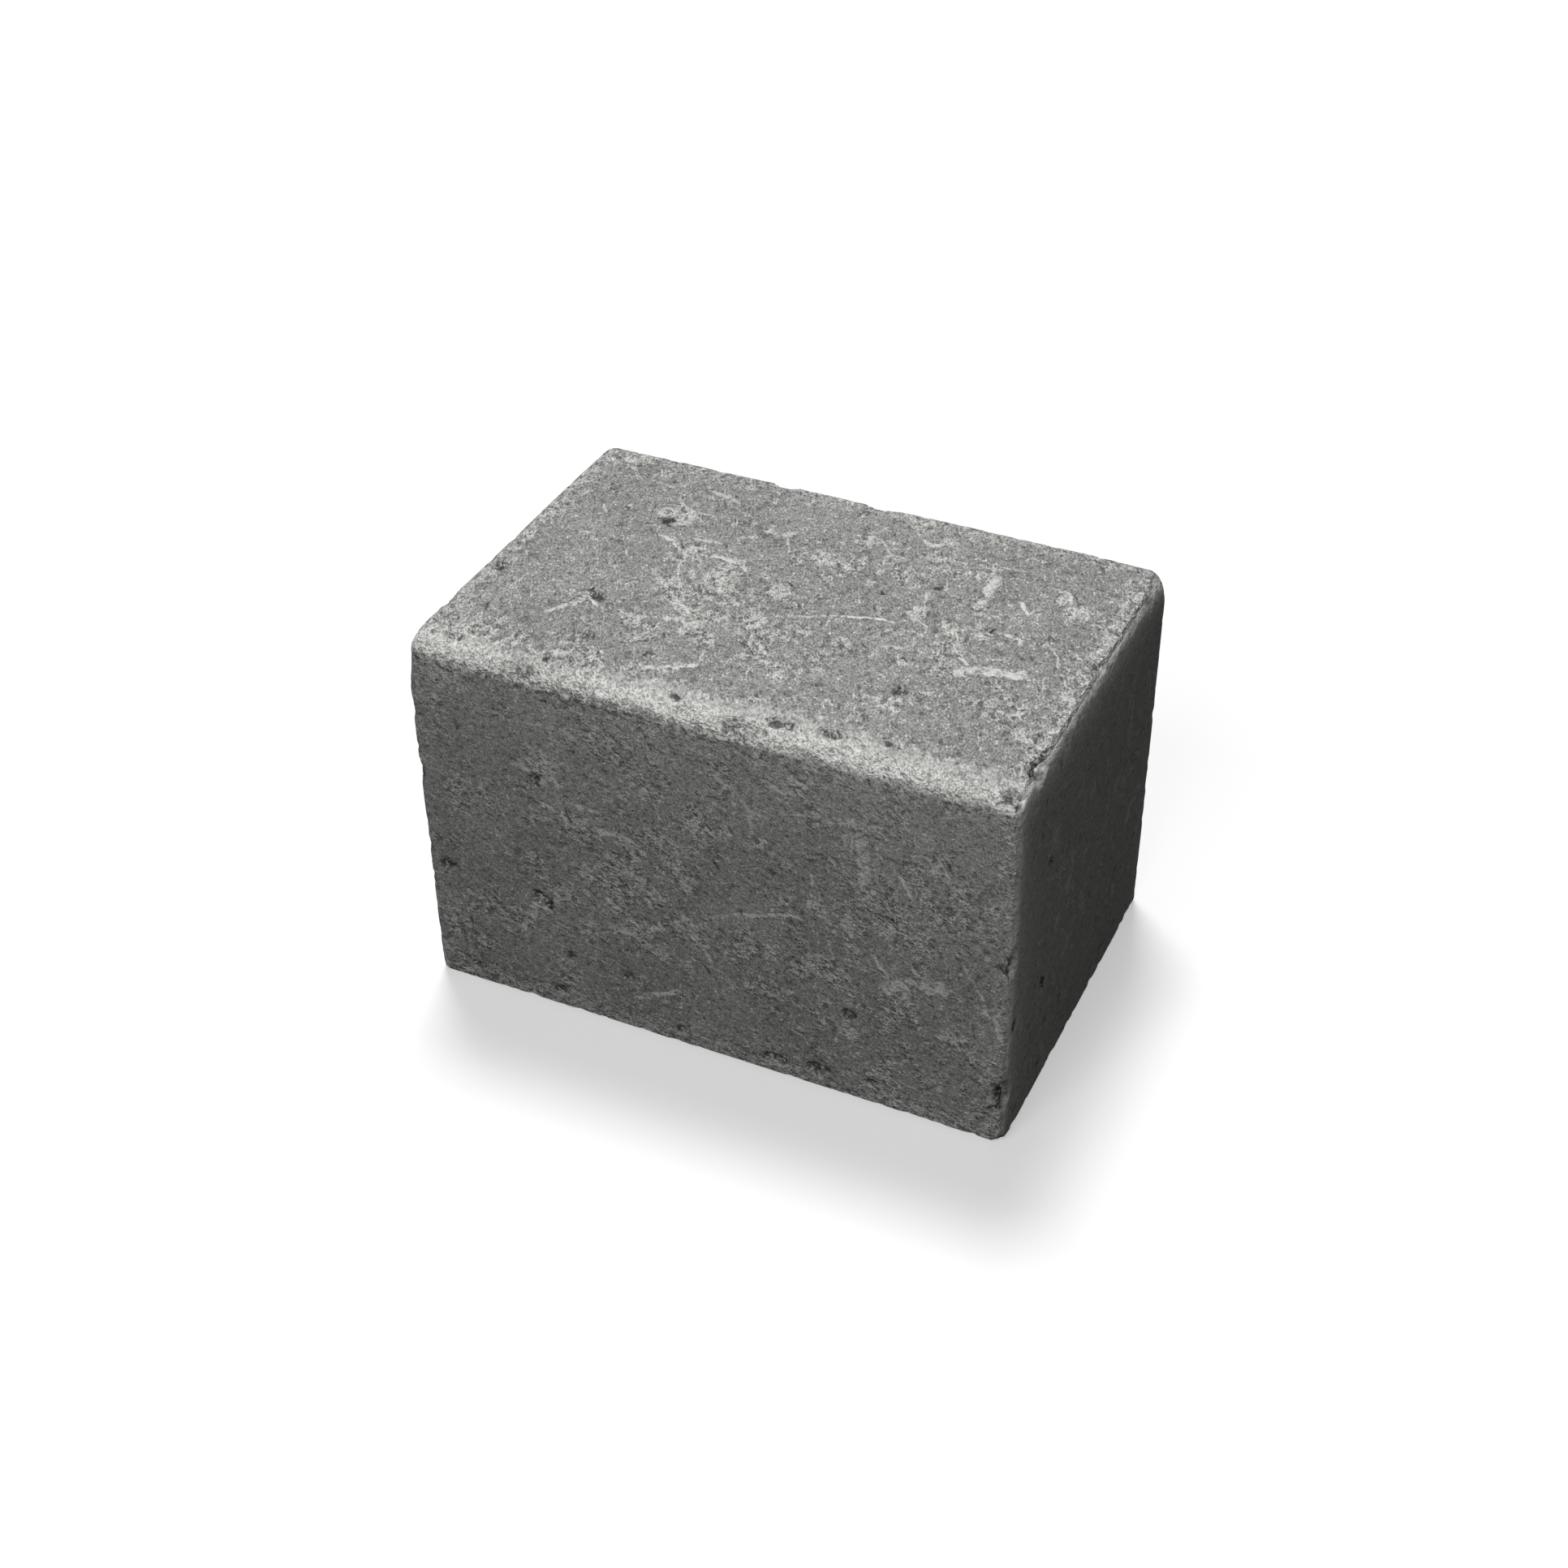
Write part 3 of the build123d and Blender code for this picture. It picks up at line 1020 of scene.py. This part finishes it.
class NodeBench:
    """Adds shader nodes to one tree, each joined to what feeds it in the same call."""

    def __init__(self, tree: bpy.types.NodeTree) -> None:
        """Start on a tree, and empty it.

        Args:
            tree: node tree to fill.
        """
        self.tree = tree
        tree.nodes.clear()

    def add(self, kind: str, inputs: dict[Any, Any] | None = None, output: Any = 0, **settings: Any) -> Any:
        """Add a node.

        Args:
            kind: Blender's name for the node's type.
            inputs: what goes into its sockets, by name or number: another node's output, or a plain value.
            output: which of its outputs to return, by name or number.
            settings: the node's own settings.

        Returns:
            The chosen output socket, or None if the node has no outputs.
        """
        node = self.tree.nodes.new(kind)
        for key, value in settings.items():
            setattr(node, key, value)
        for key, value in (inputs or {}).items():
            if isinstance(value, bpy.types.NodeSocket):
                self.tree.links.new(value, node.inputs[key])
            else:
                node.inputs[key].default_value = value
        return node.outputs[output] if len(node.outputs) else None

    def math(self, operation: str, *values: Any, clamp: bool = False) -> Any:
        """Add a Math node on up to three values."""
        return self.add("ShaderNodeMath", dict(enumerate(values)), operation=operation, use_clamp=clamp)

    def times(self, *values: Any) -> Any:
        """Product of some values."""
        return reduce(partial(self.math, "MULTIPLY"), values)

    def most(self, *values: Any) -> Any:
        """Highest of some values."""
        return reduce(partial(self.math, "MAXIMUM"), values)

    def plus(self, value: Any, factor: Any, base: Any, clamp: bool = False) -> Any:
        """Value times factor, plus base."""
        return self.math("MULTIPLY_ADD", value, factor, base, clamp=clamp)

    def ramp(self, value: Any, ramp: Ramp) -> Any:
        """A value passed through a ramp."""
        return self.plus(value, ramp.slope, ramp.base)

    def shift(self, place: Any, step: tuple[float, float, float]) -> Any:
        """Place moved by a step."""
        return self.add("ShaderNodeVectorMath", {0: place, 1: step}, operation="ADD")

    def draw_out(self, place: Any, turn: tuple[float, ...], stretch: tuple[float, ...]) -> Any:
        """Place on which a noise comes out turned, in degrees, and stretched along its own X, Y and Z."""
        inputs = {"Vector": place, "Rotation": tuple(map(math.radians, turn)), "Scale": stretch}
        return self.add("ShaderNodeMapping", inputs, vector_type="TEXTURE")

    def grade(self, value: Any, grade: Grade) -> Any:
        """A value passed through a grade."""
        ends = {"From Min": grade.low, "From Max": grade.high, "To Min": grade.start, "To Max": grade.end}
        return self.add("ShaderNodeMapRange", {"Value": value, **ends}, interpolation_type="SMOOTHSTEP")

    def noise(self, place: Any, noise: Noise) -> Any:
        """Noise from 0 to 1 at a place, both in mm."""
        look = {"Detail": noise.detail, "Roughness": noise.rough, "Distortion": noise.warp}
        return self.add("ShaderNodeTexNoise", {"Vector": place, "Scale": 1.0 / noise.size, **look}, "Fac")

    def blend(self, share: Any, first: Any, second: Any, way: str = "MIX") -> Any:
        """Mix two colours by a share, in the given way."""
        inputs = {0: share, 6: first, 7: second}
        return self.add("ShaderNodeMix", inputs, 2, data_type="RGBA", blend_type=way, clamp_result=False)

    def tone(self, name: str) -> Any:
        """One of the mesh's tones."""
        return self.add("ShaderNodeAttribute", {}, "Fac", attribute_name=name, attribute_type="GEOMETRY")


@dataclass
class StoneTextures:
    """The textures that colour, relief and roughness share. Each is a socket with values from 0 to 1.

    damage is how far the sawn skin is broken, lumps are ragged lumps of every size, flakes are the same
    but drawn out one way, grain is the finest, burrs are 1 on the raised lines of broken places and the
    crack texture is 1 on the sunken lines just below them, which are crack lines and also painted shadow
    under the burrs, gaps is 1 between flakes, pinholes is 1 in a tiny hole, rubbing is 1 where use has
    rubbed the front edge, patches is 1 on bruised grain, scuffs is 1 on a rub, slits is 1 in a dark gash,
    scratches is 1 on a hair-thin line, and hollow is 1 in a pit.
    """

    damage: Any
    lumps: Any
    flakes: Any
    grain: Any
    burrs: Any
    cracks_and_shadows: Any
    gaps: Any
    pinholes: Any
    rubbing: Any
    patches: Any
    scuffs: Any
    slits: Any
    scratches: Any
    hollow: Any


# Height in mm of the textures whose relief depends on nothing else.
RELIEF = {
    "grain": 0.16,
    "burrs": 0.08,
    "cracks_and_shadows": -0.05,
    "scuffs": -0.03,
    "slits": -0.10,
    "hollow": -0.14,
    "pinholes": -0.06,
}


@dataclass(frozen=True)
class StoneFinish:
    """Coarse grey stone: colours are linear, sizes in mm and turns in degrees."""

    grey: tuple[float, float, float] = (0.276, 0.279, 0.269)
    pale: tuple[float, float, float] = (0.78, 0.785, 0.75)
    # The dark colour is painted shade: in gaps, crack lines and pinholes, and on the floors of pits, slits
    # and chips.
    dark: tuple[float, float, float] = (0.030, 0.029, 0.027)
    face_roughness: float = 0.85
    polished_roughness: float = 0.36
    specular_level: float = 0.02

    lump_noise: Noise = Noise(1.05, 3.0, 0.62, 0.5)
    flake_noise: Noise = Noise(0.7, 2.0, 0.60, 0.3)
    grain_noise: Noise = Noise(0.28, 2.0, 0.6)
    ridge_noise: Noise = Noise(1.7, 3.0, 0.6, 0.4)
    cloud_noise: Noise = Noise(9.0, 4.0, 0.6)
    scratch_noise: Noise = Noise(0.9, 2.0, 0.5, 0.2)
    grain_turn: float = 25.0
    flake_lean: float = 20.0
    grain_stretch: float = 1.7
    flake_stretch: float = 1.4
    scratch_stretch: float = 18.0
    scratch_turns: tuple[float, float] = (25.0, -62.0)
    burr_shift: tuple[float, float, float] = (17.0, 9.0, 5.0)
    # The crack lines sit just below the burrs: crack lines and a painted shadow under each burr.
    crack_and_shadow_shift: tuple[float, float, float] = (0.10, 0.16, -0.22)
    pinholes_per_mm: float = 0.9
    pinhole_lumps: float = 1.1  # how far high lumps close the pinholes
    gap_widening: float = -0.08  # how far damage and the broken lip open the gaps
    mark_rim: float = 0.5  # width of a mark's ragged rim, in half widths of the mark
    scuff_reach: float = 1.3  # where the rim of a scuff ends, in its half widths
    slit_reach: float = 1.0  # the same for a slit

    # How ragged the lumps and flakes make the rims of each kind of place.
    fray_broken: float = 0.9
    fray_hollow: float = 1.6
    fray_patch: float = 1.5
    fray_mark: float = 2.8

    # Masks.
    broken: Grade = Grade(0.35, 0.75)
    hollow_rim: Grade = Grade(0.30, 0.85)
    hollow_reach: Grade = Grade(0.05, 0.35)
    ridge: Grade = Grade(0.004, 0.045, 1.0, 0.0)
    pinhole: Grade = Grade(0.48, 0.74, 1.0, 0.0)
    gap: Grade = Grade(0.415, 0.30)
    rubbed: Grade = Grade(0.15, 0.95)
    patch: Grade = Grade(0.25, 0.80)
    slit_flakes: Grade = Grade(0.58, 0.47, 0.2, 1.0)
    scratch: Grade = Grade(0.66, 0.74)

    # Shade of the grey ground, as a factor.
    cloud_shade: Grade = Grade(0.30, 0.70, 0.89, 1.11)
    grain_shade: Grade = Grade(0.28, 0.72, 0.50, 1.62)
    flake_shade: Grade = Grade(0.34, 0.66, 0.88, 1.14)
    lump_shade: Grade = Grade(0.36, 0.66, 0.90, 1.12)
    contrast: Ramp = Ramp(0.45, 0.85)  # of these shades, by damage
    # How far the painted light and the edge wear lighten the ground.
    bleach_and_light_gain: Ramp = Ramp(0.5, 1.0)

    # Share of the pale colour.
    pale_grain: Grade = Grade(0.40, 0.58, 0.35, 1.0)
    pale_crest: Grade = Grade(0.63, 0.80, 0.0, 0.60)
    pale_fleck: Grade = Grade(1.05, 1.16, 0.0, 0.9)
    scuffed_flakes: Grade = Grade(0.38, 0.54, 0.45, 1.0)
    scuffed_grain: Grade = Grade(0.36, 0.60, 0.70, 1.1)
    # The rubbed slope's pale base and speckle are a painted highlight and painted glints, over real wear.
    glint_grain: Grade = Grade(0.45, 0.56)
    glint_speckle: Grade = Grade(0.50, 0.85, 0.12, 1.0)
    worn_highlight_base: Grade = Grade(0.30, 0.85, 0.21, 0.45)
    scratch_share: Ramp = Ramp(0.4, 0.1)  # by damage
    patch_share: float = 0.82
    crest_damage: float = 0.24  # how far damage raises the crests
    fleck_lumps: float = 0.8  # how far lumps raise the flecks

    # Share of the dark colour, which is painted shade, and the roughness that the grain adds.
    hollow_floor: Grade = Grade(0.60, 0.46, 0.15, 0.85)
    chip_floor: Grade = Grade(0.62, 0.40, 0.30, 0.75)
    grain_roughness: Grade = Grade(0.30, 0.70, 0.06, -0.06)
    gap_share: Ramp = Ramp(-0.16, 0.38)  # by rubbing
    lip_gap_share: float = 0.35  # how much darker, in painted shade, the gaps are on the lip
    crack_and_shadow_share: float = 0.5  # painted shade of crack lines under the burrs and of pinholes, beside that of gaps
    pinhole_share: float = 1.5
    slit_share: float = 0.9

    # Height in mm of the textures whose relief depends on damage or on the lip.
    rubbed_damage: Ramp = Ramp(-0.45, 1.0)  # how much rubbing leaves of the damage's relief
    lump_height: Ramp = Ramp(0.18, 0.03)
    flake_height: Ramp = Ramp(0.34, 0.08)
    gap_height: Ramp = Ramp(-0.06, -0.08)

    def material(self) -> bpy.types.Material:
        """Build the stone's material.

        Returns:
            A material that reads Object coordinates, the map of face places and the mesh's tones.
        """
        stone = bpy.data.materials.new("coarse_stone")
        stone.use_nodes = True
        bench = NodeBench(stone.node_tree)
        metres = bench.add("ShaderNodeTexCoord", {}, "Object")
        place = bench.add("ShaderNodeVectorMath", {0: metres, "Scale": 1 / MM}, operation="SCALE")
        textures = self.textures(bench, place)
        relief = {"Height": self.height(bench, textures), "Strength": 1.0, "Distance": MM}
        inputs = {
            "Base Color": self.colour(bench, place, textures),
            "Roughness": self.roughness(bench, textures),
            "Normal": bench.add("ShaderNodeBump", relief),
            "Specular IOR Level": self.specular_level,
        }
        shader = bench.add("ShaderNodeBsdfPrincipled", inputs)
        bench.add("ShaderNodeOutputMaterial", {"Surface": shader})
        return stone

    def textures(self, bench: NodeBench, place: Any) -> StoneTextures:
        """Lay out the textures that the rest of the finish shares.

        Args:
            bench: where the nodes are added.
            place: place on the stone, in mm.

        Returns:
            The textures' sockets.
        """
        turn = (0.0, 0.0, self.grain_turn)
        lean = (0.0, self.flake_lean, self.grain_turn)
        leaning = bench.draw_out(place, lean, (self.flake_stretch, self.grain_stretch, 1.0))
        place = bench.draw_out(place, turn, (1.0, self.grain_stretch, 1.0))
        lumps = bench.noise(place, self.lump_noise)
        flakes = bench.noise(leaning, self.flake_noise)
        grain = bench.noise(place, self.grain_noise)
        ragged = bench.math("ADD", bench.math("ADD", lumps, flakes), -1.0)
        damage = bench.plus(ragged, self.fray_broken, bench.tone("eroded"), clamp=True)
        broken = bench.grade(damage, self.broken)
        raised = bench.shift(leaning, self.burr_shift)
        # Sunken lines just below the raised burrs: crack lines and a painted shadow under each burr.
        sunken = bench.shift(raised, self.crack_and_shadow_shift)
        opening = bench.plus(bench.math("ADD", damage, bench.tone("lip")), self.gap_widening, flakes)
        slits = self.marks(bench, "slit", ragged, self.slit_reach)
        return StoneTextures(
            damage=damage,
            lumps=lumps,
            flakes=flakes,
            grain=grain,
            burrs=bench.times(self.ridges(bench, raised), broken),
            cracks_and_shadows=bench.times(self.ridges(bench, sunken), broken),
            gaps=bench.grade(opening, self.gap),
            pinholes=self.pinholes(bench, place, lumps),
            rubbing=bench.grade(bench.plus(ragged, self.fray_broken, bench.tone("polish")), self.rubbed),
            patches=bench.grade(bench.plus(ragged, self.fray_patch, bench.tone("pale")), self.patch),
            scuffs=self.marks(bench, "scuff", ragged, self.scuff_reach),
            slits=bench.times(slits, bench.grade(flakes, self.slit_flakes)),
            scratches=bench.most(*(self.scratches(bench, turn) for turn in self.scratch_turns)),
            hollow=self.hollows(bench, ragged),
        )

    def hollows(self, bench: NodeBench, ragged: Any) -> Any:
        """Darken the pits.

        Args:
            bench: where the nodes are added.
            ragged: the raggedness of the rims.

        Returns:
            A mask: 1 in a pit, with a ragged rim, and 0 well outside it.
        """
        hollow = bench.tone("hollow")
        rim = bench.grade(bench.plus(ragged, self.fray_hollow, hollow), self.hollow_rim)
        return bench.times(rim, bench.grade(hollow, self.hollow_reach))

    def pinholes(self, bench: NodeBench, place: Any, lumps: Any) -> Any:
        """Prick tiny holes near scattered points, only where lumps are low.

        Args:
            bench: where the nodes are added.
            place: place on the stone, in mm.
            lumps: the noise of lumps.

        Returns:
            A mask: 1 in a hole.
        """
        inputs = {"Vector": place, "Scale": self.pinholes_per_mm, "Randomness": 1.0}
        distance = bench.add("ShaderNodeTexVoronoi", inputs, "Distance")
        return bench.grade(bench.plus(lumps, self.pinhole_lumps, distance), self.pinhole)

    def ridges(self, bench: NodeBench, place: Any) -> Any:
        """Curling lines: where a ragged noise crosses its middle value."""
        level = bench.noise(place, self.ridge_noise)
        return bench.grade(bench.math("ABSOLUTE", bench.math("SUBTRACT", level, 0.5)), self.ridge)

    def scratches(self, bench: NodeBench, turn: float) -> Any:
        """Draw hair-thin lines about one way on each face: the crests of a long drawn-out noise.

        Args:
            bench: where the nodes are added.
            turn: turn of the lines on the face, in degrees.

        Returns:
            A mask: 1 on a line.
        """
        face_place = bench.add("ShaderNodeUVMap", {}, uv_map=FACE_MAP)
        drawn = bench.draw_out(face_place, (0.0, 0.0, turn), (self.scratch_stretch, 1.0, 1.0))
        return bench.grade(bench.noise(drawn, self.scratch_noise), self.scratch)

    def marks(self, bench: NodeBench, kind: str, ragged: Any, reach: float) -> Any:
        """Draw one kind of mark, with ragged rims.

        Args:
            bench: where the nodes are added.
            kind: name of the kind of mark.
            ragged: the raggedness of the rims.
            reach: where the rim ends, in half widths of the mark.

        Returns:
            A mask: 1 near the middle line, 0 past the reach.
        """
        offset = bench.plus(ragged, self.fray_mark, bench.tone(f"{kind}_offset"))
        rim = Grade(reach - self.mark_rim, reach, 1.0, 0.0)
        inside = bench.grade(bench.math("ABSOLUTE", offset), rim)
        return bench.times(inside, bench.tone(f"{kind}_strength"))

    def colour(self, bench: NodeBench, place: Any, textures: StoneTextures) -> Any:
        """Colour the stone: the grey ground, what is pale over it, and what is dark over both.

        Args:
            bench: where the nodes are added.
            place: place on the stone, in mm.
            textures: the shared textures.

        Returns:
            The base colour.
        """
        ground = self.ground(bench, place, textures)
        skin = bench.blend(self.paleness(bench, textures), ground, (*self.pale, 1.0))
        return bench.blend(self.darkness(bench, textures), skin, (*self.dark, 1.0))

    def ground(self, bench: NodeBench, place: Any, textures: StoneTextures) -> Any:
        """Mix the grey ground: clouds and grain, stronger where it is broken, and lightened where painted
        light and edge wear are laid on.

        Args:
            bench: where the nodes are added.
            place: place on the stone, in mm.
            textures: the shared textures.

        Returns:
            The colour of the ground.
        """
        shade = bench.times(
            bench.grade(bench.noise(place, self.cloud_noise), self.cloud_shade),
            bench.grade(textures.grain, self.grain_shade),
            bench.grade(textures.flakes, self.flake_shade),
            bench.grade(textures.lumps, self.lump_shade),
        )
        contrast = bench.times(bench.ramp(textures.damage, self.contrast), bench.tone("marked"))
        shade = bench.plus(bench.math("SUBTRACT", shade, 1.0), contrast, 1.0)
        # Painted light: the ground is made lighter at the top of the front face, at the top and front of the
        # right side, and on the edges.
        shade = bench.times(shade, bench.ramp(bench.tone("bleach_and_painted_light"), self.bleach_and_light_gain))
        return bench.blend(1.0, (*self.grey, 1.0), shade, "MULTIPLY")

    def paleness(self, bench: NodeBench, textures: StoneTextures) -> Any:
        """Gather what is pale: crests and burrs, partly worn grain and partly painted highlight on raised
        grain, bruises, flecks, scuffs, scratches, and the rubbed slope, which is partly wear and partly
        painted highlight with painted glints.

        Args:
            bench: where the nodes are added.
            textures: the shared textures.

        Returns:
            The share of the pale colour.
        """
        # Crests and burrs are paler, partly as worn grain and partly as painted highlight on raised grain.
        crest = bench.grade(bench.plus(textures.damage, self.crest_damage, textures.lumps), self.pale_crest)
        raised = bench.most(crest, textures.burrs, bench.times(textures.patches, self.patch_share))
        raised = bench.times(raised, bench.grade(textures.grain, self.pale_grain))
        flecks = bench.grade(bench.plus(textures.lumps, self.fleck_lumps, textures.grain), self.pale_fleck)
        scuffs = bench.times(
            textures.scuffs,
            bench.grade(textures.flakes, self.scuffed_flakes),
            bench.grade(textures.grain, self.scuffed_grain),
        )
        # Painted highlight along the rubbed front slope, with painted glints, over real wear.
        wear_and_highlight = bench.tone("wear_and_highlight")
        painted_glints = bench.grade(textures.grain, self.glint_grain)
        painted_glints = bench.times(painted_glints, bench.grade(wear_and_highlight, self.glint_speckle))
        worn = bench.times(textures.rubbing, bench.math("ADD", painted_glints, bench.grade(wear_and_highlight, self.worn_highlight_base)))
        lines = bench.times(textures.scratches, bench.ramp(textures.damage, self.scratch_share))
        return bench.times(bench.most(raised, flecks, scuffs, worn, lines), bench.tone("marked"))

    def darkness(self, bench: NodeBench, textures: StoneTextures) -> Any:
        """Gather the painted shade in the recesses: dark gaps, crack lines and pinholes, and the dark floors
        of pits, slits and chips.

        Args:
            bench: where the nodes are added.
            textures: the shared textures.

        Returns:
            The share of the dark colour.
        """
        # Painted shade in the recesses, where shade falls.
        cracks_and_shadows = bench.times(textures.cracks_and_shadows, self.crack_and_shadow_share)
        pinholes = bench.times(textures.pinholes, self.pinhole_share)
        gap = bench.most(textures.gaps, cracks_and_shadows, pinholes)
        depth = bench.ramp(textures.rubbing, self.gap_share)
        depth = bench.plus(bench.tone("lip"), self.lip_gap_share, depth)
        pit = bench.times(textures.hollow, bench.grade(textures.flakes, self.hollow_floor))
        chip = bench.times(bench.tone("chip"), bench.grade(textures.flakes, self.chip_floor))
        slit = bench.times(textures.slits, self.slit_share)
        return bench.most(bench.times(gap, depth), pit, slit, chip)

    def height(self, bench: NodeBench, textures: StoneTextures) -> Any:
        """Raise the fine relief: every texture times its own height, added up.

        Args:
            bench: where the nodes are added.
            textures: the shared textures.

        Returns:
            The height, in mm.
        """
        broken = bench.times(textures.damage, bench.ramp(textures.rubbing, self.rubbed_damage))
        total = bench.times(textures.lumps, bench.ramp(broken, self.lump_height))
        total = bench.plus(textures.flakes, bench.ramp(broken, self.flake_height), total)
        total = bench.plus(textures.gaps, bench.ramp(bench.tone("lip"), self.gap_height), total)
        for name, height in RELIEF.items():
            total = bench.plus(getattr(textures, name), height, total)
        return bench.times(total, bench.tone("marked"))

    def roughness(self, bench: NodeBench, textures: StoneTextures) -> Any:
        """Work out the roughness: matt faces, and the smoother front edge.

        Args:
            bench: where the nodes are added.
            textures: the shared textures.

        Returns:
            The roughness, from 0 to 1.
        """
        spread = self.polished_roughness - self.face_roughness
        base = bench.plus(textures.rubbing, spread, self.face_roughness)
        return bench.math("ADD", base, bench.grade(textures.grain, self.grain_roughness))


# --------------------------------------------------------------------------------------------- stage

@dataclass(frozen=True)
class Lamp:
    """A square soft lamp aimed at the stone: share of full light, way to it, distance and side."""

    name: str
    light: float
    towards: tuple[float, float, float]
    distance: float
    side: float

    def build(self, aim: Vector) -> None:
        """Hang the lamp.

        A square lamp of power P lights a surface that faces it from distance d with P / (pi d^2), and a
        white surface then looks as bright as 1 when that is pi.

        Args:
            aim: the point that it faces.
        """
        data = bpy.data.lights.new(self.name, "AREA")
        data.shape = "SQUARE"
        data.size = self.side
        data.energy = math.pi ** 2 * self.distance ** 2 * self.light
        lamp = bpy.data.objects.new(self.name, data)
        way = Vector(self.towards).normalized()
        lamp.location = aim + way * self.distance
        lamp.rotation_euler = way.to_track_quat("Z", "Y").to_euler()
        bpy.context.scene.collection.objects.link(lamp)


@dataclass(frozen=True)
class Studio:
    """White table, dim even room light and three soft lamps: lengths are in metres."""

    table_side: float = 6.0
    bounce_grey: float = 0.05
    glow: float = 1.08
    shadow_depth: float = 0.58
    room_light: float = 0.05
    lamps: tuple[Lamp, ...] = (
        Lamp("overhead_lamp", 0.84, (-0.17, 0.28, 0.95), 3.0, 0.75),
        Lamp("front_lamp", 0.33, (-0.06, -0.70, 0.70), 1.2, 0.5),
        Lamp("side_lamp", 0.07, (0.55, -0.80, 0.20), 0.25, 0.08),
    )

    def build(self, low: Vector, high: Vector) -> None:
        """Set the table under the stone and light it.

        Args:
            low: lowest corner of the stone.
            high: highest corner of the stone.
        """
        self.table(low.z)
        self.room()
        for lamp in self.lamps:
            lamp.build((low + high) / 2)

    def seen_directly(self, bench: NodeBench) -> Any:
        """1 for what the camera sees straight, in a gloss or through glass, and 0 for bounced light."""
        path = bench.tree.nodes.new("ShaderNodeLightPath").outputs
        return bench.most(path["Is Camera Ray"], path["Is Glossy Ray"], path["Is Transmission Ray"])

    def table(self, height: float) -> None:
        """Lay the table top: white with a soft shadow where it is seen, and grey to bounced light.

        Args:
            height: height of the table top.
        """
        half = self.table_side / 2
        corners = [(x * half, y * half, height) for x, y in ((-1, -1), (1, -1), (1, 1), (-1, 1))]
        mesh = bpy.data.meshes.new("table_top")
        mesh.from_pydata(corners, [], [(0, 1, 2, 3)])
        table = bpy.data.objects.new("table_top", mesh)
        bpy.context.scene.collection.objects.link(table)
        white = bpy.data.materials.new("white_table")
        white.use_nodes = True
        bench = NodeBench(white.node_tree)
        grey = bench.add("ShaderNodeBsdfDiffuse", {"Color": (*[self.bounce_grey] * 3, 1.0)})
        paint = bench.add("ShaderNodeBsdfDiffuse", {"Color": WHITE})
        glow = bench.add("ShaderNodeEmission", {"Color": WHITE, "Strength": self.glow})
        bright = bench.add("ShaderNodeMixShader", {0: self.shadow_depth, 1: glow, 2: paint})
        surface = bench.add("ShaderNodeMixShader", {0: self.seen_directly(bench), 1: grey, 2: bright})
        bench.add("ShaderNodeOutputMaterial", {"Surface": surface})
        mesh.materials.append(white)

    def room(self) -> None:
        """Even light from all round, with a white look where it is seen."""
        world = bpy.data.worlds.new("white_room")
        world.use_nodes = True
        bench = NodeBench(world.node_tree)
        strength = bench.plus(self.seen_directly(bench), 1.0 - self.room_light, self.room_light)
        light = bench.add("ShaderNodeBackground", {"Color": WHITE, "Strength": strength})
        bench.add("ShaderNodeOutputWorld", {"Surface": light})
        bpy.context.scene.world = world


@dataclass(frozen=True)
class Viewpoint:
    """Where the stone is looked at from, measured in its own length, and how the camera is held.

    lens and sensor are in mm and the angles in degrees, and what lies nearer than nearest or farther than
    farthest isn't seen.
    """

    lens: float = 55.71
    sensor: float = 36.0
    right: float = 1.317
    front: float = 2.846
    above: float = 2.679
    azimuth: float = 25.139
    elevation: float = 37.036
    roll: float = 0.504
    nearest: float = 0.1
    farthest: float = 200.0

    def build(self, low: Vector, high: Vector) -> None:
        """Place the camera, and set it as the scene's own.

        Args:
            low: lowest corner of the stone.
            high: highest corner of the stone.
        """
        length = high.x - low.x
        data = bpy.data.cameras.new("viewpoint")
        data.lens = self.lens
        data.sensor_width = self.sensor
        data.clip_start = length * self.nearest
        data.clip_end = length * self.farthest
        camera = bpy.data.objects.new("viewpoint", data)
        foot = Vector(((low.x + high.x) / 2, (low.y + high.y) / 2, low.z))
        camera.location = foot + Vector((self.right, -self.front, self.above)) * length
        azimuth, elevation, roll = map(math.radians, (self.azimuth, self.elevation, self.roll))
        level = math.cos(elevation)
        back = Vector((math.sin(azimuth) * level, -math.cos(azimuth) * level, math.sin(elevation)))
        turn = (-back).to_track_quat("-Z", "Y") @ Euler((0, 0, -roll)).to_quaternion()
        camera.rotation_euler = turn.to_euler()
        bpy.context.scene.collection.objects.link(camera)
        bpy.context.scene.camera = camera


class Whetstone:
    """The whole stone: one block, cut square and worn by use."""

    def __init__(self, finish: StoneFinish) -> None:
        """Take the block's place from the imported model.

        Args:
            finish: the stone's finish.
        """
        self.low, self.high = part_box(STONE_NODE)
        self.finish = finish

    def build(self) -> None:
        """Make the block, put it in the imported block's place and report it."""
        surface = StoneSurface(np.array(self.low), np.array(self.high))
        block = build_mesh("stone_block", surface)
        block.data.materials.append(self.finish.material())
        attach(block, STONE_BODY)
        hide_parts(STONE_NODE)
        log.info("%s: %d faces", block.name, len(block.data.polygons))


def main() -> None:
    """Build the stone, the table, the light and the camera in order, and note the sizes."""
    logging.basicConfig(level=logging.INFO, format="%(name)s: %(message)s")
    stone = Whetstone(StoneFinish())
    stone.build()
    Studio().build(stone.low, stone.high)
    Viewpoint().build(stone.low, stone.high)
    bpy.context.scene.view_settings.view_transform = "Standard"


if __name__ == "__main__":
    main()
